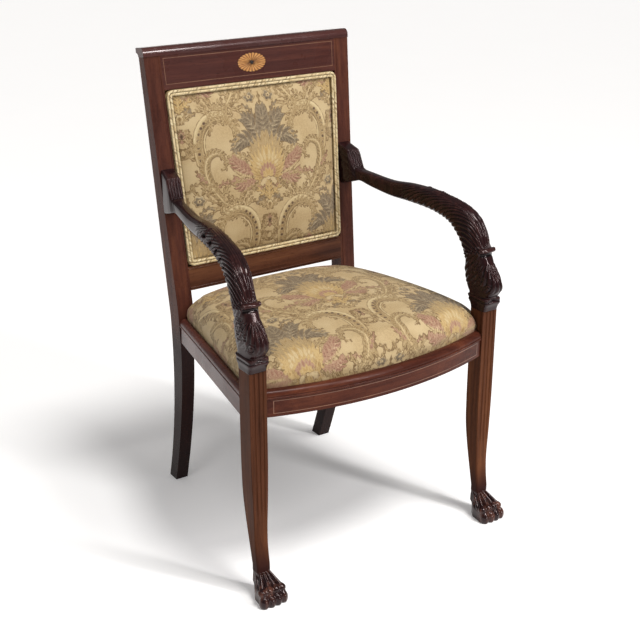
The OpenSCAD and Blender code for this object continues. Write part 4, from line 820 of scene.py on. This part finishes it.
def leg_rings():
    """The fluted post above the ankle, as rings that run round it."""
    zs = [*np.arange(ANKLE, 210, 3.0), *np.arange(210, 300, 6.0), 300, 340, 366, 367, 418, 419, LEG_TOP]
    rings = []
    for z in zs:
        in_x, out_x, front, rear = leg_box(z)
        r = 1.0 + 3.5 * smooth01((200 - z) / 120)
        pts = []
        x0, x1, y0, y1 = in_x + r, out_x - r, front + r, rear - r
        for x, y, start in ((x1, y0, -90), (x1, y1, 0), (x0, y1, 90), (x0, y0, 180)):
            pts += round_corner(x, y, r, start, 6)
        pts = np.array(pts)
        t = np.linspace(0, 1, 62)[1:-1]
        face = pts[-1] + (pts[0] - pts[-1]) * t[:, None]
        flute_half, flute_deep = 2.4, 1.7 * smooth01((z - 150) / 45)
        for k in (1, 2, 3):
            q = (face[:, 0] - (in_x + (out_x - in_x) * k / 4)) / flute_half
            face[:, 1] += flute_deep * np.sqrt(np.maximum(0, 1 - q * q))
        ring = np.vstack([pts, face])
        rings.append(np.column_stack([ring, np.full(len(ring), z)]))
    return np.array(rings)


def build_paws(mat, leg_mat):
    step = 0.8
    lo = np.array([235.0, FRONT_Y - 59, -2.4])
    axes = [start + step * np.arange(int(size / step)) for start, size in zip(lo, (70, 92, 76))]
    P = np.stack(np.meshgrid(*axes, indexing="ij"), -1)
    verts, faces = surface_net(paw_field(P), lo, step)
    verts[:, 2] = np.maximum(verts[:, 2], 0)
    rings = leg_rings()
    for side, word in ((1, "right"), (-1, "left")):
        node = "front_leg_" + word
        leg = make("leg_post_" + word, *tube_grid(rings * [side, 1, 1] * MM), False)
        face_outwards(leg)
        dress(leg, leg_mat, node)
        paw = make("lion_paw_" + word, verts * [side, 1, 1] * MM, faces if side > 0 else faces[:, ::-1])
        dress(paw, mat, node)


# Seat cushion, between side walls that lean in by SIDE_A and a front that bows out round BOW_CY

SIDE_A = radians(10.544829)
SIDE_FRONT_X, SIDE_BACK_X, SIDE_LONG = 286.5, 219.114, 362.0
BOW_R, BOW_CY = 780.003, 509.503
SEAT_GAP = 1.0
SEAT_BACK_Y = BACK_Y + 9.0
POST_NOTCH_X = 185.6
RIM_ROUND, SEAT_CROWN, SEAT_FILL = 30.0, 78, 0.85
RIM_ROWS = (0.12, 0.3, 0.55, 0.85, 1.2, 1.65, 2.2, 2.9, 3.7, 4.7, 5.9, 7.3, 9.0, 11.0, 13.2, 15.6, 18.2)


def side_line(y, inset):
    fall = (SIDE_FRONT_X - SIDE_BACK_X) * (y - FRONT_Y - LEG_D) / SIDE_LONG
    return SIDE_FRONT_X - fall - inset / cos(SIDE_A)


def bow_line(x, inset):
    return BOW_CY - np.sqrt((BOW_R - inset) ** 2 - x * x)


def stepped(corners, step):
    """A closed outline through the corners, with points about a step apart."""
    out = []
    for p, q in zip(corners, np.roll(corners, -1, axis=0)):
        k = max(1, int(round(np.linalg.norm(q - p) / step)))
        out += [p + (q - p) * i / k for i in range(k)]
    return np.array(out)


def round_corner(cx, cy, r, start, n):
    """Points of a quarter circle that starts at an angle in degrees."""
    turns = np.radians(np.linspace(0, 90, n)) + radians(start)
    return [[cx + r * cos(a), cy + r * sin(a)] for a in turns]


def seat_outline(inset, step):
    """Plan of the cushion, counter-clockwise, with round notches round the posts and the front legs."""
    wall = WALL_T + SEAT_GAP + inset
    ny, nx = FRONT_Y + LEG_D + SEAT_GAP + inset, LEG_IN - SEAT_GAP - inset
    py, px = BACK_Y - SEAT_GAP - inset, POST_NOTCH_X - SEAT_GAP - inset
    by = SEAT_BACK_Y - inset
    r = 5.0
    arc = np.radians(np.linspace(0, 90, 7))[1:]
    right = [[nx, bow_line(nx, wall)], [nx, ny - r]]
    right += [[nx + r - r * cos(a), ny - r + r * sin(a)] for a in arc]
    right += [[side_line(ny, wall) - 4, ny], [side_line(ny + 4, wall), ny + 4]]
    right += [[side_line(py - 4, wall), py - 4], [side_line(py, wall) - 4, py], [px + r, py]]
    right += [[px + r - r * sin(a), py + r - r * cos(a)] for a in arc]
    right += [[px, by - 3], [px - 3, by]]
    front = [[x, bow_line(x, wall)] for x in np.linspace(-nx, nx, 120)]
    return stepped(np.array(front[:-1] + right + [[-x, y] for x, y in reversed(right[1:])]), step)


def ring_distance(pts, ring):
    """Distance to a closed outline without its sign, and the direction to its nearest point."""
    best = np.full(len(pts), 1e9)
    vec = np.zeros((len(pts), 2))
    for p, q in zip(ring, np.roll(ring, -1, axis=0)):
        s = q - p
        t = clamp01(((pts - p) @ s) / (s @ s))
        d = pts - p - t[:, None] * s
        dd = (d * d).sum(1)
        near = dd < best
        best = np.where(near, dd, best)
        vec[near] = -d[near]
    d = np.sqrt(best)
    return d, vec / np.maximum(d, 1e-6)[:, None]


def ring_outward(ring):
    tangent = np.roll(ring, -1, axis=0) - np.roll(ring, 1, axis=0)
    out = np.stack([tangent[:, 1], -tangent[:, 0]], 1)
    return out / np.linalg.norm(out, axis=1)[:, None]


def inside_ring(pts, ring):
    x, y = pts[:, 0], pts[:, 1]
    hit = np.zeros(len(pts), bool)
    for (ax, ay), (bx, by) in zip(ring, np.roll(ring, -1, axis=0)):
        if ay != by:
            hit ^= ((ay > y) != (by > y)) & (x < (bx - ax) * (y - ay) / (by - ay) + ax)
    return hit


def filling(ring, x_half, y_span, step, clear):
    """Points in staggered rows inside a ring, and clear of it."""
    gx, gy = np.meshgrid(np.arange(-x_half, x_half, step), np.arange(*y_span, step * 0.866))
    gx = gx + (np.arange(gx.shape[0]) % 2)[:, None] * step / 2
    grid = np.stack([gx.ravel(), gy.ravel()], 1)
    grid = grid[inside_ring(grid, ring)]
    return grid[ring_distance(grid, ring)[0] > clear]


def triangles(pts, ring):
    """Triangles over all points inside the ring, whose own points come first."""
    edges = [(i, (i + 1) % len(ring)) for i in range(len(ring))]
    out = delaunay_2d_cdt([Vector(p) for p in np.vstack([ring, *pts])], edges, [], 0, 1e-6)
    verts = np.array([tuple(v) for v in out[0]])
    faces = [tuple(f) for f in out[2]]
    keep = inside_ring(np.array([verts[list(f)].mean(0) for f in faces]), ring)
    return verts, [f for f, k in zip(faces, keep) if k]


def closed_pad(name, faces, top, rim, middle):
    """A pad: its upper surface, a wall down to its rim, and a fan of faces underneath."""
    m, n = len(top), len(rim)
    turn = [(i, (i + 1) % n) for i in range(n)]
    faces = faces + [(i, m + i, m + j) for i, j in turn] + [(i, m + j, j) for i, j in turn]
    faces += [(m + j, m + i, m + n) for i, j in turn]
    ob = make(name, np.vstack([top, rim, [middle]]) * MM, faces)
    face_outwards(ob)
    return ob


def rim_round(k):
    return (1 - (1 - clamp01(k)) ** 2.6) ** 0.62


def seat_height(x, y, d):
    """Top of the cushion: the crown in the middle, drawn down round over its rim."""
    def dome(t, power):
        return np.maximum(0, 1 - np.abs(np.clip(t, -1, 1)) ** power) ** 0.9

    y0 = bow_line(x, WALL_T + SEAT_GAP)
    v = (y - y0) / (SEAT_BACK_Y - y0) * 2 - 1
    u = x / side_line(y, WALL_T + SEAT_GAP)
    crown = SEAT_CROWN * (0.62 + 0.38 * dome(u, 2.6)) * (0.72 + 0.28 * dome(v, 2.4))
    return RAIL_TOP - 4 + (4 + crown) * rim_round(d / RIM_ROUND)


def build_seat(mat, foam_mat):
    for cover, inset, step in ((True, 0.0, 1.9), (False, 6.0, 6.0)):
        ring = seat_outline(inset, step)
        pts = []
        for off in (RIM_ROWS):
            row = seat_outline(inset + off, max(step, 2.2))
            pts.append(row[(ring_distance(row, ring)[0] > off * 0.9) & inside_ring(row, ring)])
        pts.append(filling(ring, 280, (-290, 190), step, 20.5))
        verts, faces = triangles(pts, ring)
        n = len(ring)
        d, to_rim = ring_distance(verts, ring)
        d[:n] = 0
        z = seat_height(verts[:, 0], verts[:, 1], d)
        if not cover:
            base = RAIL_TOP + 3.4
            z = np.maximum(z - 3.0 * (d > 0), base + 1)
            rim = np.column_stack([ring, np.full(n, base)])
            ob = closed_pad("seat_stuffing", faces, np.column_stack([verts, z]), rim, (0, 0, base))
            dress(ob, foam_mat, "seat_foam")
            continue
        base = RAIL_TOP - 15.0
        bulge = 4.5 * bell(d - 5, 6.0) * smooth01(d / 2.0)
        top = np.column_stack([verts + to_rim * bulge[:, None], z])
        rim = np.column_stack([ring, np.full(n, base)])
        ob = closed_pad("seat_cushion", faces, top, rim, (0, 0, base))
        # the cloth keeps its length over the round rim, so its pattern runs on down the side
        steps = np.linspace(0, 40, 161)
        arc = lengths(np.column_stack([steps, 76 * rim_round(steps / RIM_ROUND)]))
        slip = np.interp(d, steps, arc[-1] - arc - (40 - steps))[:, None]
        near = np.where(d[:, None] < 0.01, 0, to_rim)
        near[:n] = ring_outward(ring)
        flat = np.vstack([verts + near * slip, ring + near[:n] * (slip[:n] + 14), [[0, 0]]])
        add_cloth(ob, flat[:, 0] - 5, (flat[:, 1] + 43) * 0.96)
        dress(ob, mat, "seat_cover")


# Padded back, in millimetres across it and up its slope

LOWER_TOP_S = (RAIL_TOP + 57 - RAKE_Z0) / cos(RAKE_A) + 50
CREST_S = (TOP_Z - RAKE_Z0) / cos(RAKE_A) + 9.5 * RAKE_SLOPE - 18 - 67
PAD_MID_S = (LOWER_TOP_S + CREST_S) / 2
PAD_GAP, PAD_CORNER, PAD_RIM_T = 0.8, 14, 2.8
PATTERN_S = 263


def pad_half(s):
    return post_out(RAKE_Z0 + s * cos(RAKE_A)) - 35.5 - PAD_GAP


def pad_ring(inset, r, step):
    """Outline of the padded back in (x, s), counter-clockwise, with round corners."""
    pts = []
    for sx, sy, start in ((1, -1, -90), (1, 1, 0), (-1, 1, 90), (-1, -1, 180)):
        s = CREST_S - PAD_GAP - inset if sy > 0 else LOWER_TOP_S + PAD_GAP + inset
        pts += round_corner(sx * (pad_half(s) - inset - r), s - sy * r, r, start, 13)
    return stepped(np.array(pts), step)


def pad_height(x, s):
    fx = clamp01(np.abs(x) / (pad_half(s) - 12))
    fs = clamp01(np.abs(s - PAD_MID_S) / ((CREST_S - LOWER_TOP_S) / 2 - 12.8))
    return 26.5 * (1 - fx ** 2.3) ** 0.65 * (1 - fs ** 2.1) ** 0.72


def back_pad(name, ring, step, rim_t, height):
    """A pad on the leaning back; height gives each point's place behind the face from x, s and rim distance."""
    pts = filling(ring, 210, (LOWER_TOP_S, CREST_S), step, step * 0.6)
    verts, faces = triangles([pts], ring)
    x, s = verts[:, 0], verts[:, 1]
    top = on_rake(x, height(x, s, ring_distance(verts, ring)[0]), s)
    rim = on_rake(ring[:, 0], rim_t, ring[:, 1])
    ob = closed_pad(name, faces, top, rim, on_rake(0.0, rim_t, PAD_MID_S))
    return ob, np.vstack([verts, ring, [[0, 260]]])


def build_back(mat, foam_mat, cord_mat):
    for name, node, inset, step in (("back_cushion", "back_cover", 0.0, 1.7),
                                    ("back_stuffing", "back_foam", 2.0, 6.0)):
        def height(x, s, d):
            return 0.5 - pad_height(x, s) + inset + 1.6 * bell(d - 12.5, 1.6)

        ob, flat = back_pad(name, pad_ring(inset, PAD_CORNER - inset, step), step, PAD_RIM_T, height)
        if node == "back_cover":
            add_cloth(ob, flat[:, 0] - 3, flat[:, 1] - PATTERN_S)
            dress(ob, mat, node)
        else:
            dress(ob, foam_mat, node)
    for word, inset in (("outer", 3.0), ("inner", 9.0)):
        build_piping(word, pad_ring(inset, PAD_CORNER - inset, 2.0), cord_mat)


def build_piping(word, path, mat):
    around, cord_r, cord_t = 12, 2.8, -3.3
    a = 2 * np.pi * np.arange(around) / around
    rings = []
    for (x, s), (nx, ns) in zip(path, ring_outward(path)):
        rings.append(on_rake(x + nx * cord_r * np.cos(a), cord_t + cord_r * np.sin(a), s + ns * cord_r * np.cos(a)))
    verts, faces = tube_grid(np.array(rings + rings[:1]), close_ends=False)
    m = len(path) * around
    ob = make("piping_" + word, verts[:m] * MM, [tuple(i % m for i in f) for f in faces])
    face_outwards(ob)
    floats(ob, "run", np.repeat(lengths(path), around) * MM)
    floats(ob, "turn", np.tile(np.arange(around) / around, len(path)))
    dress(ob, mat, "back_piping_" + word)


def build_back_cloth(mat):
    """The panel that closes the back: cloth over a thin pad, held along its edges."""
    face_t = 16.2

    def height(x, s, d):
        return face_t + 0.5 + (1.9 * smooth01(d / 3.0) + 1.2 * smooth01(d / 45.0) - 0.5 * bell(d - 6.0, 1.5))

    step = 3.0
    ob, flat = back_pad("outside_back_cloth", pad_ring(0.4, 3.0, step), step, face_t, height)
    add_cloth(ob, flat[:, 0], flat[:, 1] - PATTERN_S)
    dress(ob, mat, "outside_back")


# Under the seat

STRAP_W, STRAP_T = 50, 1.6
STRAP_XS, STRAP_YS = (-106.9, 0.0, 106.9), (-127.8, -24.9, 78.0)
STRAP_FRONT_Y, STRAP_REAR_Y, STRAP_SIDE_X = -193.0, 143.2, 184.8


def strap(name, a, b, z, mat):
    """A flat strap from a to b in plan, its underside at height z."""
    a, b = np.array(a, float), np.array(b, float)
    along = (b - a) / np.linalg.norm(b - a)
    across = np.array([-along[1], along[0]])
    g = np.linspace(-1, 1, 7)
    rows = []
    for t in np.linspace(0, 1, 40):
        mid = a + (b - a) * t
        ring = [[*(mid + across * k * STRAP_W / 2), z + STRAP_T - 0.15 * k * k] for k in g]
        rows.append(ring + [[*(mid + across * k * STRAP_W / 2), z] for k in g[::-1]])
    verts, faces = tube_grid(np.array(rows))
    ob = make(name, verts * MM, faces, False)
    dress(ob, mat, "seat_webbing")


def build_under(jute_mat, dust_mat):
    for i, x in enumerate(STRAP_XS):
        strap(f"seat_strap_long_{i + 1}", (x, STRAP_FRONT_Y), (x, STRAP_REAR_Y), RAIL_TOP, jute_mat)
    for i, y in enumerate(STRAP_YS):
        strap(f"seat_strap_cross_{i + 1}", (-STRAP_SIDE_X, y), (STRAP_SIDE_X, y), RAIL_TOP + STRAP_T, jute_mat)
    longest_edge, sag, ripple = 0.018, 0.003, 0.0004
    src = nodes["seat_dust_cover"]
    bm = bmesh.new()
    bm.from_mesh(src.data)
    bm.transform(src.matrix_world)
    bmesh.ops.triangulate(bm, faces=bm.faces)
    for _ in range(7):
        long = [e for e in bm.edges if e.calc_length() > longest_edge]
        if long:
            bmesh.ops.subdivide_edges(bm, edges=long, cuts=1)
            bmesh.ops.triangulate(bm, faces=bm.faces)
    for v in bm.verts:
        inward = max(0.0, 1 - (v.co.x / 0.22) ** 2) * max(0.0, 1 - ((v.co.y + 0.04) / 0.17) ** 2)
        v.co.z -= sag * inward + ripple * inward * sin(v.co.x * 90) * sin(v.co.y * 70)
    me = bpy.data.meshes.new("seat_dust_cloth")
    bm.to_mesh(me)
    area = sum(f.calc_area() for f in bm.faces if f.normal.z > 0.7)
    bm.free()
    ob = add_object("seat_dust_cloth", me)
    dress(ob, dust_mat, "seat_dust_cover")


def cord_cloth():
    """Bias-cut brocade round a cord: slanting gold and brown threads, a cream crown, and painted shade that darkens
    the cord's sides and back.
    """
    sh = Shader("piping_cloth")
    run, turn = sh.attr("run"), sh.attr("turn")
    vec = sh.node("CombineXYZ", X=sh.times(run, 60.0), Y=turn)
    patch = sh.noise(vec, scale=1.0, detail=2)
    dash = sh.noise(sh.node("CombineXYZ", X=sh.scaled(run, 190.0, sh.times(turn, 2.5)), Y=0.0),
                    scale=1.0, detail=2)
    col = sh.mix(sh.ramp(patch, 0.4, 0.6), srgb(214, 196, 154), srgb(192, 170, 126))
    col = sh.mix(sh.ramp(dash, 0.53, 0.62, 0, 0.8), col, srgb(112, 86, 58))
    col = sh.mix(sh.ramp(dash, 0.45, 0.36, 0, 0.75), col, srgb(234, 220, 184))
    # Painted shade: the cord is drawn dark brown away from its front crown, where it turns to the pad and the next
    # cord.
    crown = sh.math("ABSOLUTE", sh.math("SUBTRACT", turn, 0.75))
    col = sh.mix(sh.ramp(crown, 0.16, 0.27, 0, 0.85), col, srgb(92, 68, 38))
    thread = sh.math("SINE", sh.scaled(run, 9000.0, sh.times(turn, 40.0)))
    return sh.set(Base_Color=col, Roughness=0.6, Normal=sh.bump(thread, 0.00012, 0.5), Sheen_Weight=0.2,
                  Sheen_Roughness=0.4, Specular_IOR_Level=0.3)


# Finish of each node

mahogany_z = wood("mahogany_upright", "z", (56, 31, 20), (87, 51, 33), (120, 74, 46), coat=0, level=0.05,
                  rough=0.34, fade=(0.12, 0.054, 1.0, (50, 26, 22)))
mahogany_x = wood("mahogany_across", "x", (50, 25, 22), (70, 38, 33), (92, 53, 42), coat=0.08, level=0.14)
rail_wood = wood("mahogany_rail", "x", (48, 22, 17), (76, 38, 27), (102, 56, 38), coat=0.03, level=0.1)
low_wood = wood("mahogany_lower_rail", "x", (52, 28, 20), (84, 50, 35), (112, 72, 48), coat=0.05, level=0.1)
side_woods = [wood("mahogany_side" + end, "y", (52, 26, 23), (80, 44, 38), (104, 60, 48), turn=turn, level=0.25)
              for end, turn in (("", -SIDE_A), ("_left", SIDE_A))]
# The back legs' fade is painted shade: from the seat down the wood is drawn near black.
rear_wood = wood("mahogany_back_leg", "z", (50, 26, 22), (77, 43, 34), (100, 59, 42), coat=0,
                 level=0.1, fade=(0.43, 0.34, 0.9, (24, 8, 8)))
carved = wood("mahogany_carved", "z", (22, 10, 11), (36, 17, 18), (64, 36, 33), rough=0.13, coat=0,
              level=0.25, pores=0.3, carved=True)
paw_wood = wood("mahogany_paw", "z", (20, 9, 10), (33, 16, 17), (108, 68, 54), rough=0.14, coat=0,
                level=0.38, pores=0.3, carved=True, fade=(0.043, 0.053, 0.8, (48, 24, 18)))
cap_wood = wood("mahogany_cap", "x", (46, 22, 20), (68, 36, 33), (90, 50, 42), rough=0.22, coat=0.35, level=0.3)
pine = wood("plain_wood", "x", (150, 116, 74), (176, 142, 96), (196, 164, 118), rough=0.6, coat=0.0)
cloth = brocade()
foam = plain_cloth("stuffing", (226, 214, 178), (236, 226, 194), 300)
jute = plain_cloth("jute", (150, 122, 82), (170, 142, 100), 500)
cambric = plain_cloth("cambric", (28, 27, 27), (36, 35, 34), 1200)
NODE_MATS = {
    "rear_leg_left": rear_wood, "rear_leg_right": rear_wood, "crest_cap": cap_wood, "crest_panel": mahogany_x,
    "lower_back_rail": low_wood, "front_rail": rail_wood, "side_rail_left": side_woods[1],
    "side_rail_right": side_woods[0], "rear_rail": mahogany_x, "arm_screw_plugs": mahogany_z,
    "patera_rays": rayed_veneer(),
    "patera_dot": inlay("ebony", (24, 16, 12), (34, 24, 18)),
    "crest_stringing": inlay("stringing", (116, 78, 54), (98, 62, 44)),
    "rail_stringing": inlay("stringing_rail", (130, 84, 56), (104, 66, 46)),
    "seat_webbing": jute, "seat_dust_cover": cambric, "seat_foam": foam, "back_foam": foam, "outside_back": cloth}
metal = steel()
for name, ob in nodes.items():
    mat = NODE_MATS.get(name) or (metal if "screws" in name else pine)
    for slot in ob.material_slots:
        slot.material = mat
    if not ob.material_slots:
        ob.data.materials.append(mat)

build_arms(carved)
build_paws(paw_wood, mahogany_z)
build_seat(cloth, foam)
build_back(cloth, foam, cord_cloth())
build_back_cloth(cloth)
build_under(jute, cambric)

# Floor, light and camera; the camera's picture, focal length and middle are in pixels, its angles in degrees

far = 150.0
floor = make("floor", [(-far, -far, 0), (far, -far, 0), (far, far, 0), (-far, far, 0)], [(0, 1, 2, 3)], False)
fl = Shader("floor_paper")
rays = [fl.node("LightPath", out=k) for k in ("Is Camera Ray", "Is Glossy Ray", "Is Transmission Ray")]
seen = fl.math("MAXIMUM", fl.math("MAXIMUM", rays[0], rays[1]), rays[2])
fl.set(Base_Color=fl.mix(fl.noise(fl.coords((3, 3, 3))), (0.93, 0.93, 0.93, 1), (0.95, 0.95, 0.95, 1)), Roughness=0.9,
       Specular_IOR_Level=0.1, Emission_Color=(1, 1, 1, 1), Emission_Strength=fl.times(seen, 0.16))
floor.data.materials.append(fl.mat)

world = bpy.data.worlds.new("studio")
world.use_nodes = True
sky = world.node_tree.nodes["Background"]
sky.inputs[0].default_value = (1.0, 0.975, 0.965, 1)
sky.inputs[1].default_value = 0.25
scene.world = world


def lamp(kind, name, where, aim, power, tint, size):
    data = bpy.data.lights.new(name, kind)
    data.energy = power
    data.color = tint
    if kind == "SUN":
        data.angle = radians(size)
    else:
        data.shape = "RECTANGLE"
        data.size, data.size_y = size
    ob = add_object(name, data)
    ob.location = where
    ob.rotation_euler = (Vector(aim) - Vector(where)).to_track_quat("-Z", "Y").to_euler()


lamp("SUN", "key", (0.5, -1.15, 3.25), (0, 0, 0.4), 2.1, (1.0, 0.985, 0.965), 18)
lamp("AREA", "strip", (1.2, -2.3, 2.3), (0, -0.1, 0.5), 46, (1.0, 0.98, 0.98), (0.24, 1.3))
lamp("AREA", "window", (-1.3, -0.9, 3.1), (-0.1, 0, 0.5), 11, (1.0, 0.97, 0.97), (0.5, 1.2))

cam = bpy.data.cameras.new("view")
cam.sensor_width = 36.0
picture, focal, middle_x, middle_y = 640, 1163.39, 305.84, 317.56
heading, tilt, roll = -33.03, 21.70, -0.27
cam.lens = focal / picture * cam.sensor_width
cam.shift_x = (picture / 2 - middle_x) / picture
cam.shift_y = (middle_y - picture / 2) / picture
cam_ob = add_object("view", cam)
cam_ob.matrix_world = Matrix.Translation((-1.21937, -1.84699, 1.31108))
for angle, axis in ((heading, "Z"), (90 - tilt, "X"), (roll, "Z")):
    cam_ob.matrix_world = cam_ob.matrix_world @ Matrix.Rotation(radians(angle), 4, axis)
scene.camera = cam_ob
scene.view_settings.view_transform = "Standard"
